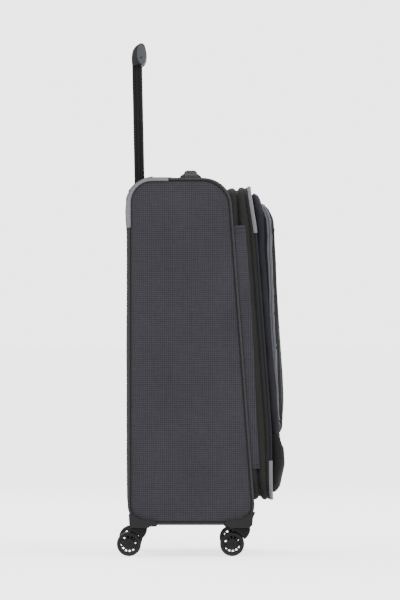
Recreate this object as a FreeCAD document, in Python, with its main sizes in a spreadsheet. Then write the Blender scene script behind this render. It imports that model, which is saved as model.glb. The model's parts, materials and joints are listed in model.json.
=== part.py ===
import FreeCAD, Part
import math
import os
import re
import Sketcher

# Large softside spinner suitcase, closed and standing, with the trolley handle pulled out.
# Millimetres, +Z up, front towards -Y, hinge side towards -X. The origin is on the floor,
# in the middle of the case's width.

Vector = FreeCAD.Vector
Placement = FreeCAD.Placement
Rotation = FreeCAD.Rotation
ORIGIN = Vector(0, 0, 0)
X_AXIS = Vector(1, 0, 0)
Y_AXIS = Vector(0, 1, 0)
Z_AXIS = Vector(0, 0, 1)

doc = FreeCAD.newDocument("suitcase")
sheet = doc.addObject("Spreadsheet::Sheet", "dims")
sub_parts = []

DRIVING_DIMENSIONS = (
    # the case, in side view
    ("case_width", 480),
    ("case_top", 776),
    ("case_bottom", 65),
    ("back_plane", 148),
    ("front_foot", -119.4),
    ("lean_slope", 0.0752),
    ("rear_radius", 50),
    ("front_radius", 60),
    ("foot_radius", 40),
    ("panel_wall", 6),
    ("panel_split_top", 716),
    ("panel_split_foot", 97),
    # piping and trims
    ("piping_width", 4),
    ("piping_proud", 3),
    ("trim_wall", 1.2),
    ("rear_trim_front", 64.6),
    ("rear_trim_foot", 671.6),
    # the opening and the lid, measured up the front plane and out from it
    ("frame_depth", 8),
    ("frame_low", 98),
    ("frame_high", 755),
    ("frame_inset", 18),
    ("wire_half", 222),
    ("wire_low", 97),
    ("wire_high", 732),
    ("wire_wall", 4),
    ("wire_radius", 40),
    ("opening_low", 117),
    ("opening_high", 757),
    ("opening_half", 238.5),
    ("opening_radius", 50),
    ("tape_wall", 3),
    ("case_tape_top", 12),
    ("lid_tape_start", 13),
    ("lid_tape_top", 25),
    ("step_split", 33.2),
    ("step_gap", 1),
    ("lid_board_start", 42.5),
    ("lid_board_wall", 3.5),
    ("gusset_gap", 0.4),
    ("gusset_wall", 1.5),
    ("lid_trim_height", 84),
    ("lid_trim_width", 52),
    ("hinge_low", 183),
    ("hinge_high", 668),
    ("hinge_wall", 1.8),
    # pockets on the lid
    ("pocket_half", 212),
    ("pocket_split", 250),
    ("pocket_face_low", 270),
    ("pocket_face_high", 690),
    ("pocket_depth_low", 66),
    ("pocket_slope", 0.0289),
    ("lower_pocket_depth", 67),
    ("lower_zip_depth", 60),
    ("soft_gap", 0.3),
    # carrying handles
    ("handle_centre", 19.5),
    ("handle_half", 122),
    ("handle_rise", 19),
    ("handle_band", 8),
    ("handle_width", 29),
    ("anchor_length", 36),
    ("anchor_width", 46),
    ("anchor_wall", 2.5),
    ("side_handle_height", 430),
    # trolley
    ("tube_half_span", 75),
    ("tube_across", 14),
    ("tube_deep", 20),
    ("tube_wall", 1.2),
    ("tube_radius", 5),
    ("tube_clearance", 0.4),
    ("trolley_back", 126),
    ("trolley_slope", 0.0204),
    ("inner_tube_low", -411),
    ("inner_tube_high", 246),
    ("outer_tube_low", -695),
    ("outer_tube_high", -34),
    ("tray_half", 108),
    ("tray_wall", 2),
    ("tray_front", 101),
    ("tray_back", 143),
    ("tray_floor", 738),
    ("tray_floor_wall", 4),
    ("grip_half", 97),
    ("button_length", 46),
    ("button_width", 9),
    ("button_proud", 3),
    ("pin_radius", 2),
    ("pin_height", -390),
    # inner boards
    ("board_half", 228),
    ("board_wall", 3),
    ("back_board_face", 94),
    ("base_board_front", -70),
    ("bracket_half", 95),
    # corner guards
    ("guard_proud", 6.5),
    ("guard_inner", 178),
    ("guard_bottom", 58.6),
    ("guard_top", 86.5),
    ("front_guard_top", 90),
    # casters
    ("wheel_radius", 25),
    ("wheel_width", 13),
    ("wheel_offset", 10),
    ("wheel_trail", 16),
    ("axle_radius", 3),
    ("axle_clearance", 0.3),
    ("fork_top", 58.3),
    ("fork_half", 16.5),
    ("fender_gap", 1.2),
    ("fender_wall", 2),
    ("caster_side", 205),
    ("caster_back", 130),
    ("caster_front", -82),
    # zip sliders
    ("slider_length", 10),
    ("slider_width", 9),
    ("slider_height", 3.2),
    ("pull_length", 36),
    ("pull_axis", 5.4),
)

for row, (alias, value) in enumerate(DRIVING_DIMENSIONS, 1):
    sheet.set("A%d" % row, alias)
    sheet.set("B%d" % row, str(value))
    sheet.setAlias("B%d" % row, alias)
doc.recompute()
ALIASES = {alias for alias, value in DRIVING_DIMENSIONS}


def expression(formula):
    """Turn a formula written in bare dimension names into one that reads the sheet."""
    def from_sheet(match):
        word = match.group(0)
        return "dims." + word if word in ALIASES else word
    return re.sub(r"[a-z_]+", from_sheet, str(formula))


def size(formula):
    return float(sheet.evalExpression(expression(formula)))


def bind(thing, path, formula):
    thing.setExpression(path, expression(formula))


def keep(thing, label):
    """Name a finished sub-part and put it on the list of those that are written out."""
    thing.Label = label
    sub_parts.append(thing)
    return thing


# ---------------------------------------------------------------- sketches and features

PLANES = {
    "XY_Plane": (lambda across, up: Vector(across, up, 0), Z_AXIS),
    "XZ_Plane": (lambda across, up: Vector(across, 0, up), Y_AXIS),
    "YZ_Plane": (lambda across, up: Vector(0, across, up), X_AXIS),
}


def new_body(name, place=None):
    body = doc.addObject("PartDesign::Body", name)
    if place is not None:
        body.Placement = place
    return body


def origin_feature(body, role):
    return [feature for feature in body.Origin.OriginFeatures if feature.Role == role][0]


def sketch_on(body, role, offset=0):
    """A sketch on one of the body's own origin planes, moved off it along its normal."""
    sketch = body.newObject("Sketcher::SketchObject", body.Name + "_sketch")
    sketch.AttachmentSupport = [(origin_feature(body, role), "")]
    sketch.MapMode = "FlatFace"
    bind(sketch, "AttachmentOffset.Base.z", offset)
    return sketch


def draw_outline(sketch, corners):
    """Close straight lines through corners given as pairs of formulas."""
    points = [Vector(size(across), size(up), 0) for across, up in corners]
    first = sketch.GeometryCount
    count = len(points)
    for index in range(count):
        sketch.addGeometry(Part.LineSegment(points[index], points[(index + 1) % count]))
    for index in range(count):
        follower = first + (index + 1) % count
        sketch.addConstraint(Sketcher.Constraint("Coincident", first + index, 2, follower, 1))
    for index, (across, up) in enumerate(corners):
        for kind, place, formula in (("DistanceX", points[index].x, across),
                                     ("DistanceY", points[index].y, up)):
            number = sketch.addConstraint(
                Sketcher.Constraint(kind, -1, 1, first + index, 1, place))
            bind(sketch, "Constraints[%d]" % number, formula)


def draw_circle(sketch, across, up, radius):
    centre = Vector(size(across), size(up), 0)
    circle = sketch.addGeometry(Part.Circle(centre, Z_AXIS, size(radius)))
    for kind, place, formula in (("DistanceX", centre.x, across), ("DistanceY", centre.y, up)):
        number = sketch.addConstraint(Sketcher.Constraint(kind, -1, 1, circle, 3, place))
        bind(sketch, "Constraints[%d]" % number, formula)
    number = sketch.addConstraint(Sketcher.Constraint("Radius", circle, size(radius)))
    bind(sketch, "Constraints[%d]" % number, radius)


def pad(body, sketch, length, both_ways=False):
    feature = body.newObject("PartDesign::Pad", body.Name + "_pad")
    feature.Profile = sketch
    feature.Midplane = both_ways
    bind(feature, "Length", length)
    doc.recompute()
    return feature


def pocket_through(body, sketch):
    """Cut a sketch right through the body, both ways, and make sure that it took something."""
    before = body.Tip.Shape.Volume
    feature = body.newObject("PartDesign::Pocket", body.Name + "_pocket")
    feature.Profile = sketch
    feature.Type = "ThroughAll"
    feature.Midplane = True
    doc.recompute()
    if feature.Shape.Volume > before - 1e-3:
        raise RuntimeError("the pocket in %s cut nothing" % body.Name)
    return feature


def round_corners(body, role, corners, radius):
    """Fillet the straight edges that a pad drew from some corners of its outline."""
    to_space, along = PLANES[role]
    spots = [to_space(size(across), size(up)) for across, up in corners]
    names = []
    for number, edge in enumerate(body.Tip.Shape.Edges, 1):
        if edge.Curve.TypeId != "Part::GeomLine":
            continue
        if abs(edge.tangentAt(edge.FirstParameter).dot(along)) < 0.999:
            continue
        for spot in spots:
            gap = edge.CenterOfMass - spot
            if (gap - along * gap.dot(along)).Length < 0.05:
                names.append("Edge%d" % number)
    base = body.Tip
    fillet = body.newObject("PartDesign::Fillet", body.Name + "_round")
    fillet.Base = (base, names)
    bind(fillet, "Radius", radius)
    doc.recompute()
    return fillet


def primitive(body, kind, at, turn=None, **sizes):
    """An additive or subtractive cylinder or box of the body, sized from the sheet."""
    feature = body.newObject("PartDesign::" + kind, body.Name + "_" + kind)
    for name, formula in sizes.items():
        bind(feature, name, formula)
    feature.Placement = Placement(ORIGIN, turn or Rotation())
    for axis, formula in zip("xyz", at):
        bind(feature, "Placement.Base." + axis, formula)
    doc.recompute()
    return feature


def slab(label, role, corners, length, offset=0, place=None, both_ways=False, rounds=()):
    """A padded outline; rounds holds (corners, radius) pairs for its upright edges."""
    body = new_body(label, place)
    sketch = sketch_on(body, role, offset)
    draw_outline(sketch, corners)
    pad(body, sketch, length, both_ways)
    for spots, radius in rounds:
        round_corners(body, role, spots, radius)
    return body


def hoop(label, role, outer, inner, length, offset=0, place=None, both_ways=False, rounds=()):
    """A band between two outlines; rounds holds (corners, radius) pairs."""
    body = new_body(label, place)
    sketch = sketch_on(body, role, offset)
    draw_outline(sketch, outer)
    draw_outline(sketch, inner)
    pad(body, sketch, length, both_ways)
    for spots, radius in rounds:
        round_corners(body, role, spots, radius)
    return body


def boolean(kind, label, base, tool):
    feature = doc.addObject("Part::" + kind, label)
    feature.Base = base
    feature.Tool = tool
    doc.recompute()
    return feature


def group(label, members):
    """Separate solids that share one node."""
    compound = doc.addObject("Part::Compound", label)
    compound.Links = members
    return compound


def rectangle(left, right, low, high):
    return [(left, low), (right, low), (right, high), (left, high)]


# ---------------------------------------------------------------- shared outlines and frames

# The front plane leans back. In this frame X is across, Y is up the plane, Z is out of it.
LEAN = math.degrees(math.atan(size("lean_slope")))
FRONT = Placement(Vector(0, size("front_foot"), 0), Rotation(X_AXIS, 90 - LEAN))

# The trolley leans back too. Its frame sits on the tubes' centre line at the case's top.
TROLLEY_LEAN = math.degrees(math.atan(size("trolley_slope")))
TROLLEY = Placement(Vector(0, size("trolley_back"), size("case_top")),
                    Rotation(X_AXIS, -TROLLEY_LEAN))


def side_outline(inset):
    """The case's side view: rear foot, rear top, front top, front foot."""
    front = "front_foot + (%s) * lean_slope + (%s)"
    high = "case_top - (%s)" % inset
    low = "case_bottom + (%s)" % inset
    back = "back_plane - (%s)" % inset
    return [(back, low), (back, high), (front % (high, inset), high), (front % (low, inset), low)]


def side_rounds(inset):
    rear_foot, rear_top, front_top, front_foot = side_outline(inset)
    return [([rear_top], "rear_radius - (%s)" % inset),
            ([front_top], "front_radius - (%s)" % inset),
            ([rear_foot, front_foot], "foot_radius - (%s)" % inset)]


def opening_outline(inset):
    return rectangle("-opening_half + (%s)" % inset, "opening_half - (%s)" % inset,
                     "opening_low + (%s)" % inset, "opening_high - (%s)" % inset)


def opening_hoop(label, outer_inset, wall, start, end):
    """A band round the lid's outline, from one distance out of the front plane to another."""
    inner_inset = "%s + %s" % (outer_inset, wall)
    outer = opening_outline(outer_inset)
    inner = opening_outline(inner_inset)
    return hoop(label, "XY_Plane", outer, inner, "(%s) - (%s)" % (end, start), start, FRONT,
                rounds=[(outer, "opening_radius - (%s)" % outer_inset),
                        (inner, "opening_radius - (%s)" % inner_inset)])


# ---------------------------------------------------------------- case

def side_panel(label, offset):
    return keep(slab(label, "YZ_Plane", side_outline(0), "panel_wall", offset,
                     rounds=side_rounds(0)), label)


def region(name, corners):
    """A slice of space in side view, used to take one panel out of the wrapped wall."""
    return slab(name, "YZ_Plane", corners, "case_width", both_ways=True)


side_panel("left_side_panel", "-case_width / 2")
side_panel("right_side_panel", "case_width / 2 - panel_wall")

wall = hoop("wrapped_wall", "YZ_Plane", side_outline(0), side_outline("panel_wall"),
            "case_width - 2 * panel_wall", both_ways=True,
            rounds=side_rounds(0) + side_rounds("panel_wall"))

BEHIND_FRAME = "front_foot + (%s) * lean_slope + frame_depth + soft_gap"
top_region = region("top_region", [
    (BEHIND_FRAME % "panel_split_top", "panel_split_top"), ("back_plane + 20", "panel_split_top"),
    ("back_plane + 20", "case_top + 20"), (BEHIND_FRAME % "case_top + 20", "case_top + 20")])
foot_region = region("foot_region", rectangle("front_foot - 20", "back_plane + 20",
                                              "case_bottom - 20", "panel_split_foot"))
back_region = region("back_region", rectangle("back_plane - 30", "back_plane + 20",
                                              "panel_split_foot", "panel_split_top"))

tray_space = doc.addObject("Part::Box", "tray_space")
bind(tray_space, "Length", "2 * tray_half")
bind(tray_space, "Width", "tray_back - tray_front")
bind(tray_space, "Height", "case_top - tray_floor + 20")
bind(tray_space, "Placement.Base.x", "-tray_half")
bind(tray_space, "Placement.Base.y", "tray_front")
bind(tray_space, "Placement.Base.z", "tray_floor")

top_strip = boolean("Common", "top_strip", wall, top_region)
keep(boolean("Cut", "top_panel", top_strip, tray_space), "top_panel")
keep(boolean("Common", "back_panel", wall, back_region), "back_panel")
keep(boolean("Common", "bottom_panel", wall, foot_region), "bottom_panel")

frame_outer = rectangle("-case_width / 2 + panel_wall", "case_width / 2 - panel_wall",
                        "frame_low", "frame_high")
frame_inner = opening_outline("frame_inset")
keep(hoop("front_frame", "XY_Plane", frame_outer, frame_inner, "frame_depth", "-frame_depth", FRONT,
          rounds=[(frame_outer[2:], "opening_radius - tape_wall"), (frame_outer[:2], "foot_radius"),
                  (frame_inner, "opening_radius - frame_inset")]), "front_frame")

# A spring-steel wire holds the opening's shape, just behind the front frame.
wire_outer = rectangle("-wire_half", "wire_half", "wire_low", "wire_high")
wire_inner = rectangle("-wire_half + wire_wall", "wire_half - wire_wall", "wire_low + wire_wall",
                       "wire_high - wire_wall")
keep(hoop("frame_wire", "XY_Plane", wire_outer, wire_inner, "wire_wall", "-frame_depth - 5", FRONT,
          rounds=[(wire_outer, "wire_radius"), (wire_inner, "wire_radius - wire_wall")]), "frame_wire")

# The piping runs round both side panels, just outside them.
pipings = []
for side, offset in (("left", "-case_width / 2 - piping_proud"), ("right", "case_width / 2")):
    pipings.append(hoop(side + "_piping", "YZ_Plane", side_outline(0), side_outline("piping_width"),
                        "piping_proud", offset, rounds=side_rounds(0) + side_rounds("piping_width")))
keep(group("side_pipings", pipings), "side_pipings")

# Pale trims are sewn over the piping, round both rear top corners.
trim_corner = region("trim_corner", rectangle("rear_trim_front", "back_plane + 20",
                                              "rear_trim_foot", "case_top + 20"))
bind(trim_corner.Tip, "Length", "case_width + 40")
trims = []
for side, offset in (("left", "-case_width / 2 - piping_proud - 1"), ("right", "case_width / 2 - 3")):
    band = hoop(side + "_trim_band", "YZ_Plane", side_outline("-trim_wall"), side_outline(0),
                "piping_proud + 4", offset, rounds=side_rounds("-trim_wall") + side_rounds(0))
    trims.append(boolean("Common", side + "_rear_trim", band, trim_corner))
keep(group("rear_corner_trims", trims), "rear_corner_trims")


# ---------------------------------------------------------------- boards inside

def board(label, across, left, right, low, high):
    """A plain box between two faces in Y and in Z, centred across the case."""
    box = doc.addObject("Part::Box", label)
    bind(box, "Length", "2 * (%s)" % across)
    bind(box, "Width", "(%s) - (%s)" % (right, left))
    bind(box, "Height", "(%s) - (%s)" % (high, low))
    bind(box, "Placement.Base.x", "-(%s)" % across)
    bind(box, "Placement.Base.y", left)
    bind(box, "Placement.Base.z", low)
    return keep(box, label)


board("back_board", "board_half", "back_board_face", "back_board_face + board_wall",
      "case_bottom + 13", "panel_split_top + 9")
board("base_board", "board_half", "base_board_front", "back_board_face - 1",
      "case_bottom + panel_wall + soft_gap", "case_bottom + panel_wall + soft_gap + board_wall")
board("trolley_foot_bracket", "bracket_half", "back_board_face + 5", "trolley_back - 2",
      "case_bottom + panel_wall + 5", "case_bottom + 15")


# ---------------------------------------------------------------- carrying handles

def arch(label, half, foot, rise):
    """A padded webbing handle in side view, drawn across and up, lying nearly flat."""
    top = "%s + %s" % (foot, rise)
    under = "%s + %s - handle_band" % (foot, rise)
    outline = [("-(%s)" % half, foot), ("-(%s) + 8" % half, "%s + 9" % foot),
               ("-(%s) + 30" % half, top), ("(%s) - 30" % half, top),
               ("(%s) - 8" % half, "%s + 9" % foot), (half, foot),
               ("(%s) - 18" % half, foot), ("(%s) - 34" % half, under),
               ("-(%s) + 34" % half, under), ("-(%s) + 18" % half, foot)]
    return slab(label, "XZ_Plane", outline, "handle_width", both_ways=True)


def anchor(name, place):
    box = doc.addObject("Part::Box", name)
    bind(box, "Length", "anchor_length")
    bind(box, "Width", "anchor_width")
    bind(box, "Height", "anchor_wall")
    box.Placement = place
    return box


top_handle = arch("top_handle", "handle_half", "anchor_wall", "handle_rise - anchor_wall")
top_handle.Placement = Placement(Vector(0, size("handle_centre"), size("case_top")), Rotation())
keep(top_handle, "top_handle")

side_place = Placement(Vector(size("case_width / 2"), size("handle_centre"), size("side_handle_height")),
                       Rotation(Y_AXIS, 90))
side_handle = arch("side_handle", "handle_half", "anchor_wall", "handle_rise - anchor_wall")
side_handle.Placement = side_place
keep(side_handle, "side_handle")

anchors = []
anchor_inner = size("handle_half - 26")
for handle_name, handle_place in (("top", top_handle.Placement), ("side", side_place)):
    for end_name, end in (("low", anchor_inner), ("high", -anchor_inner - size("anchor_length"))):
        corner = Placement(Vector(end, -size("anchor_width") / 2, 0), Rotation())
        anchors.append(anchor("%s_%s_anchor" % (handle_name, end_name), handle_place.multiply(corner)))
keep(group("handle_anchors", anchors), "handle_anchors")


# ---------------------------------------------------------------- trolley

tray_basin = new_body("tray_basin")
primitive(tray_basin, "AdditiveBox", ("-tray_half", "tray_front", "tray_floor"),
          Length="2 * tray_half", Width="tray_back - tray_front", Height="case_top - tray_floor + 10")
primitive(tray_basin, "SubtractiveBox",
          ("-tray_half + tray_wall", "tray_front + tray_wall", "tray_floor + tray_floor_wall"),
          Length="2 * (tray_half - tray_wall)", Width="tray_back - tray_front - 2 * tray_wall",
          Height="case_top")
for side in (-1, 1):
    primitive(tray_basin, "SubtractiveBox",
              ("%d * tube_half_span - tube_across / 2 - 2.2" % side, "trolley_back - tube_deep / 2 - 3",
               "tray_floor - 5"),
              Length="tube_across + 4.4", Width="tube_deep + 5", Height="tray_floor_wall + 10")
envelope = slab("case_envelope", "YZ_Plane", side_outline(0), "case_width", both_ways=True,
                rounds=side_rounds(0))
keep(boolean("Common", "trolley_tray", tray_basin, envelope), "trolley_tray")


def tube(name, side, grow, wall_size, low, high):
    """One oval-cornered tube along the trolley's own Z; grow widens it all round."""
    half_across = "tube_across / 2 + %s" % grow
    half_deep = "tube_deep / 2 + %s" % grow
    centre = "%d * tube_half_span" % side
    outer = rectangle("%s - (%s)" % (centre, half_across), "%s + %s" % (centre, half_across),
                      "-(%s)" % half_deep, half_deep)
    inner = rectangle("%s - (%s) + %s" % (centre, half_across, wall_size),
                      "%s + %s - %s" % (centre, half_across, wall_size),
                      "-(%s) + %s" % (half_deep, wall_size), "%s - %s" % (half_deep, wall_size))
    return hoop(name, "XY_Plane", outer, inner, "%s - %s" % (high, low), low, TROLLEY,
                rounds=[(outer, "tube_radius + %s" % grow),
                        (inner, "tube_radius + %s - %s" % (grow, wall_size))])


outer_tubes = []
inner_tubes = []
for side_name, side in (("left", -1), ("right", 1)):
    outer_tube = tube(side_name + "_outer_tube", side, "tube_clearance + tube_wall", "tube_wall",
                      "outer_tube_low", "outer_tube_high")
    # A groove in the rear wall lets the lock pin ride down with the inner tube.
    primitive(outer_tube, "SubtractiveBox",
              ("%d * tube_half_span - pin_radius - 0.4" % side, "tube_deep / 2 - 1",
               "outer_tube_low + 5"),
              Length="2 * pin_radius + 0.8", Width=5, Height="pin_height - outer_tube_low")
    outer_tubes.append(outer_tube)
    inner_tube = tube(side_name + "_inner_tube", side, 0, "tube_wall",
                      "inner_tube_low", "inner_tube_high")
    primitive(inner_tube, "SubtractiveCylinder",
              ("%d * tube_half_span" % side, "tube_deep / 2 + 1", "pin_height"),
              turn=Rotation(X_AXIS, 90), Radius="pin_radius + soft_gap", Height=5)
    inner_tubes.append(inner_tube)
keep(group("trolley_outer_tubes", outer_tubes), "trolley_outer_tubes")
keep(group("trolley_inner_tubes", inner_tubes), "trolley_inner_tubes")

# The grip is a hollow-backed plastic shell with a pad on its front, drawn in side view.
GRIP_BACK = [(10.5, 240), (13.5, 245), (13.5, 267), (8.5, 275), (-3, 280.5), (-8, 279), (-8, 240)]
GRIP_PAD = [(-8.3, 246.5), (-8.3, 278.5), (-13, 275), (-18, 268), (-18, 251), (-14, 246.5)]
grip = slab("trolley_grip", "YZ_Plane", GRIP_BACK, "2 * grip_half", place=TROLLEY, both_ways=True)
primitive(grip, "SubtractiveBox", ("-button_length / 2 - 0.5", "-button_width / 2 + 2 - 0.5", 235),
          Length="button_length + 1", Width="button_width + 1", Height=14)
for side in (-1, 1):
    primitive(grip, "SubtractiveBox",
              ("%d * tube_half_span - tube_across / 2" % side, "-tube_deep / 2 - 10", 235),
              Length="tube_across", Width="tube_deep + 10", Height="inner_tube_high - 235")
keep(grip, "trolley_grip")
keep(slab("grip_pad", "YZ_Plane", GRIP_PAD, "2 * (grip_half - 4)", place=TROLLEY, both_ways=True),
     "grip_pad")

button = new_body("grip_button", TROLLEY)
primitive(button, "AdditiveBox", ("-button_length / 2", "-button_width / 2 + 2", "240 - button_proud"),
          Length="button_length", Width="button_width", Height="button_proud + 4")
keep(button, "grip_button")

# Each pin sits just inside its tube's rear wall and stands out through the hole in it.
pins = []
for side_name, side in (("left", -1), ("right", 1)):
    pin = new_body(side_name + "_lock_pin", TROLLEY)
    primitive(pin, "AdditiveCylinder", ("%d * tube_half_span" % side, "tube_deep / 2 + 1.2", "pin_height"),
              turn=Rotation(X_AXIS, 90), Radius="pin_radius", Height=6)
    pins.append(pin)
keep(group("lock_pins", pins), "lock_pins")


# ---------------------------------------------------------------- corner guards

guard_core = slab("guard_core", "YZ_Plane", side_outline(0), "case_width + 2 * piping_proud + 0.4",
                  both_ways=True, rounds=side_rounds(0))
FRONT_EDGE = "front_foot + (%s) * lean_slope"
REAR_GUARD = [("back_plane - 4", "guard_bottom"), ("back_plane - 3", "guard_bottom + 4"),
              ("back_plane - 1.6", "guard_top"), ("back_plane - 13", "guard_top"),
              ("back_plane - 19", "guard_top - 5.5"), ("back_plane - 26", "guard_top - 9.5"),
              ("back_plane - 33", "guard_top - 11.5"), ("back_plane - 54", "guard_top - 12.5"),
              ("back_plane - 58.5", "guard_top - 17"), ("back_plane - 60", "guard_bottom + 5"),
              ("back_plane - 58.5", "guard_bottom + 3"), ("back_plane - 45", "guard_bottom + 2.6"),
              ("back_plane - 43", "guard_bottom")]
FRONT_GUARD = [(-107.3, "guard_bottom + 6"), (-109, "front_guard_top - 10"),
               (FRONT_EDGE % "front_guard_top" + " - 0.8", "front_guard_top"),
               (-107, "front_guard_top"), (-100, "front_guard_top - 4"), (-93, "front_guard_top - 8"),
               (-84, "front_guard_top - 13"), (-70, "front_guard_top - 15.5"),
               (-54, "front_guard_top - 16.5"), (-50, "front_guard_top - 20.5"),
               (-49, "guard_bottom + 6"), (-51, "guard_bottom + 3"), (-62, "guard_bottom + 2.6"),
               (-64, "guard_bottom"), (-102, "guard_bottom")]
for end_name, outline in (("rear", REAR_GUARD), ("front", FRONT_GUARD)):
    guards = []
    for side_name, offset in (("left", "-case_width / 2 - guard_proud"), ("right", "guard_inner")):
        block = slab("%s_%s_guard_block" % (end_name, side_name), "YZ_Plane", outline,
                     "case_width / 2 + guard_proud - guard_inner", offset)
        guards.append(boolean("Cut", "%s_%s_guard" % (end_name, side_name), block, guard_core))
    label = end_name + "_corner_guards"
    keep(group(label, guards), label)


# ---------------------------------------------------------------- casters

ACROSS = Rotation(Y_AXIS, 90)
FENDER_START = 165
FENDER_SWEEP = 84


def caster_fork(label, place):
    """A swivel fork: boss under the guard, fender over both wheels, web and axle between them."""
    body = new_body(label, place)
    sector = Rotation(X_AXIS, FENDER_START).multiply(ACROSS)
    axle_at = ("wheel_trail", "wheel_radius")
    primitive(body, "AdditiveCylinder", ("-fork_half",) + axle_at, turn=sector,
              Radius="wheel_radius + fender_gap + fender_wall", Height="2 * fork_half",
              Angle=FENDER_SWEEP)
    primitive(body, "AdditiveCylinder", (0, 0, "fork_top - 14"), Radius=13, Height=14)
    primitive(body, "SubtractiveCylinder", ("-fork_half - 1",) + axle_at, turn=ACROSS,
              Radius="wheel_radius + fender_gap", Height="2 * fork_half + 2")
    web = sketch_on(body, "YZ_Plane")
    draw_outline(web, [(9, 22), (16, 17), (23, 22), (20, 50.5), (-2, 46.5), (-8, 36)])
    pad(body, web, "2 * (wheel_offset - wheel_width / 2 - axle_clearance)", both_ways=True)
    primitive(body, "AdditiveCylinder", ("-fork_half",) + axle_at, turn=ACROSS,
              Radius="axle_radius", Height="2 * fork_half")
    return keep(body, label)


WINDOW_COUNT = 12


def wheel(label, place):
    """A wheel with a solid rim and hub joined by spokes, its axle along X."""
    body = new_body(label, place)
    disc = sketch_on(body, "YZ_Plane")
    draw_circle(disc, 0, 0, "wheel_radius")
    draw_circle(disc, 0, 0, "axle_radius + axle_clearance")
    pad(body, disc, "wheel_width", both_ways=True)
    window = sketch_on(body, "YZ_Plane")
    draw_outline(window, [(-1.4, 10.2), (1.4, 10.2), (3.3, 18.8), (-3.3, 18.8)])
    cut = pocket_through(body, window)
    pattern = body.newObject("PartDesign::PolarPattern", label + "_windows")
    pattern.Originals = [cut]
    pattern.Axis = (origin_feature(body, "X_Axis"), [""])
    pattern.Angle = 360
    pattern.Occurrences = WINDOW_COUNT
    body.Tip = pattern
    doc.recompute()
    return keep(body, label)


for end_name, end in (("rear", "caster_back"), ("front", "caster_front")):
    for side_name, side in (("left", -1), ("right", 1)):
        pivot = Vector(side * size("caster_side"), size(end), 0)
        corner_name = "%s_%s" % (end_name, side_name)
        caster_fork(corner_name + "_fork", Placement(pivot, Rotation()))
        for wheel_name, inward in (("outer", 1), ("inner", -1)):
            hub = pivot + Vector(side * inward * size("wheel_offset"), size("wheel_trail"),
                                 size("wheel_radius"))
            wheel("%s_%s_wheel" % (corner_name, wheel_name), Placement(hub, Rotation()))


# ---------------------------------------------------------------- zips, hinge strip and lid

def hinge_half(label, start, end):
    """Half of the fabric hinge, laid over the zip tapes on the left side."""
    outline = rectangle("-opening_half - hinge_wall", "-opening_half", "hinge_low", "hinge_high")
    return keep(slab(label, "XY_Plane", outline, "(%s) - (%s)" % (end, start), start, FRONT), label)


keep(opening_hoop("main_zip_case_tape", "0", "tape_wall", "0", "case_tape_top"), "main_zip_case_tape")
keep(opening_hoop("main_zip_lid_tape", "0", "tape_wall", "lid_tape_start", "lid_tape_top"),
     "main_zip_lid_tape")
keep(opening_hoop("expander_rear_tape", "0", "tape_wall", "lid_tape_top", "step_split"),
     "expander_rear_tape")
keep(opening_hoop("expander_front_tape", "0", "tape_wall", "step_split + step_gap", "lid_board_start"),
     "expander_front_tape")
hinge_half("hinge_strip_case", "0", "case_tape_top")
hinge_half("hinge_strip_lid", "lid_tape_start", "lid_tape_top")

# Two thin cloth bands slide past each other when the lid front steps out.
keep(opening_hoop("gusset_outer_band", "tape_wall + gusset_gap", "gusset_wall",
                  "1.5", "lid_board_start"), "gusset_outer_band")
keep(opening_hoop("gusset_inner_band", "tape_wall + 2 * gusset_gap + gusset_wall", "gusset_wall",
                  "lid_tape_start", "lid_board_start - 0.4"), "gusset_inner_band")

lid_outline = opening_outline("2.5")
keep(slab("lid_panel", "XY_Plane", lid_outline, "lid_board_wall", "lid_board_start", FRONT,
          rounds=[(lid_outline, "opening_radius - 2.5")]), "lid_panel")
keep(opening_hoop("lid_piping", "-1.5", "4", "lid_board_start + 0.5", "lid_board_start + 5"),
     "lid_piping")

# Pale corner patches wrap the lid's four corners, over the piping.
trim_hoop = opening_hoop("lid_trim_hoop", "-1.5 - trim_wall", "trim_wall",
                         "lid_board_start - 1", "lid_board_start + 5")
crossing = []
for name, across, low, high in (
        ("upright", "2 * opening_half", "opening_low + lid_trim_height", "opening_high - lid_trim_height"),
        ("level", "opening_half - lid_trim_width", "opening_low - 20", "opening_high + 20")):
    bar = slab("trim_%s_bar" % name, "XY_Plane", rectangle("-(%s)" % across, across, low, high), 30,
               "lid_board_start - 10", FRONT)
    crossing.append(bar)
cross = boolean("Fuse", "trim_cross", crossing[0], crossing[1])
keep(boolean("Cut", "lid_corner_trims", trim_hoop, cross), "lid_corner_trims")

POCKET_BACK = "lid_board_start + 5 + soft_gap"
POCKET_TOP_DEPTH = "pocket_depth_low + (pocket_face_high - pocket_face_low) * pocket_slope"
front_pocket_outline = [
    ("pocket_split", POCKET_BACK), ("pocket_split", "pocket_depth_low - 2"),
    ("pocket_face_low", "pocket_depth_low"), ("pocket_face_high", POCKET_TOP_DEPTH),
    ("pocket_face_high + 34", "lid_board_start + 28"), ("pocket_face_high + 50", POCKET_BACK)]
lower_pocket_outline = [
    ("opening_low + 4", POCKET_BACK), ("opening_low + 18", "lid_board_start + 11"),
    ("opening_low + 48", "lid_board_start + 21"), ("pocket_split - 50", "lower_pocket_depth"),
    ("pocket_split - 30", "lower_pocket_depth"), ("pocket_split - 24", "lower_zip_depth"),
    ("pocket_split - 0.6", "lower_zip_depth"), ("pocket_split - 0.6", POCKET_BACK)]
keep(slab("front_pocket", "YZ_Plane", front_pocket_outline, "2 * pocket_half", place=FRONT,
          both_ways=True), "front_pocket")
keep(slab("lower_pocket", "YZ_Plane", lower_pocket_outline, "2 * pocket_half", place=FRONT,
          both_ways=True), "lower_pocket")


# ---------------------------------------------------------------- zip sliders and their pulls

# In a slider's frame X points out of the cloth, Y points along the zip away from the pull,
# and Z points across the tape.

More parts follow.
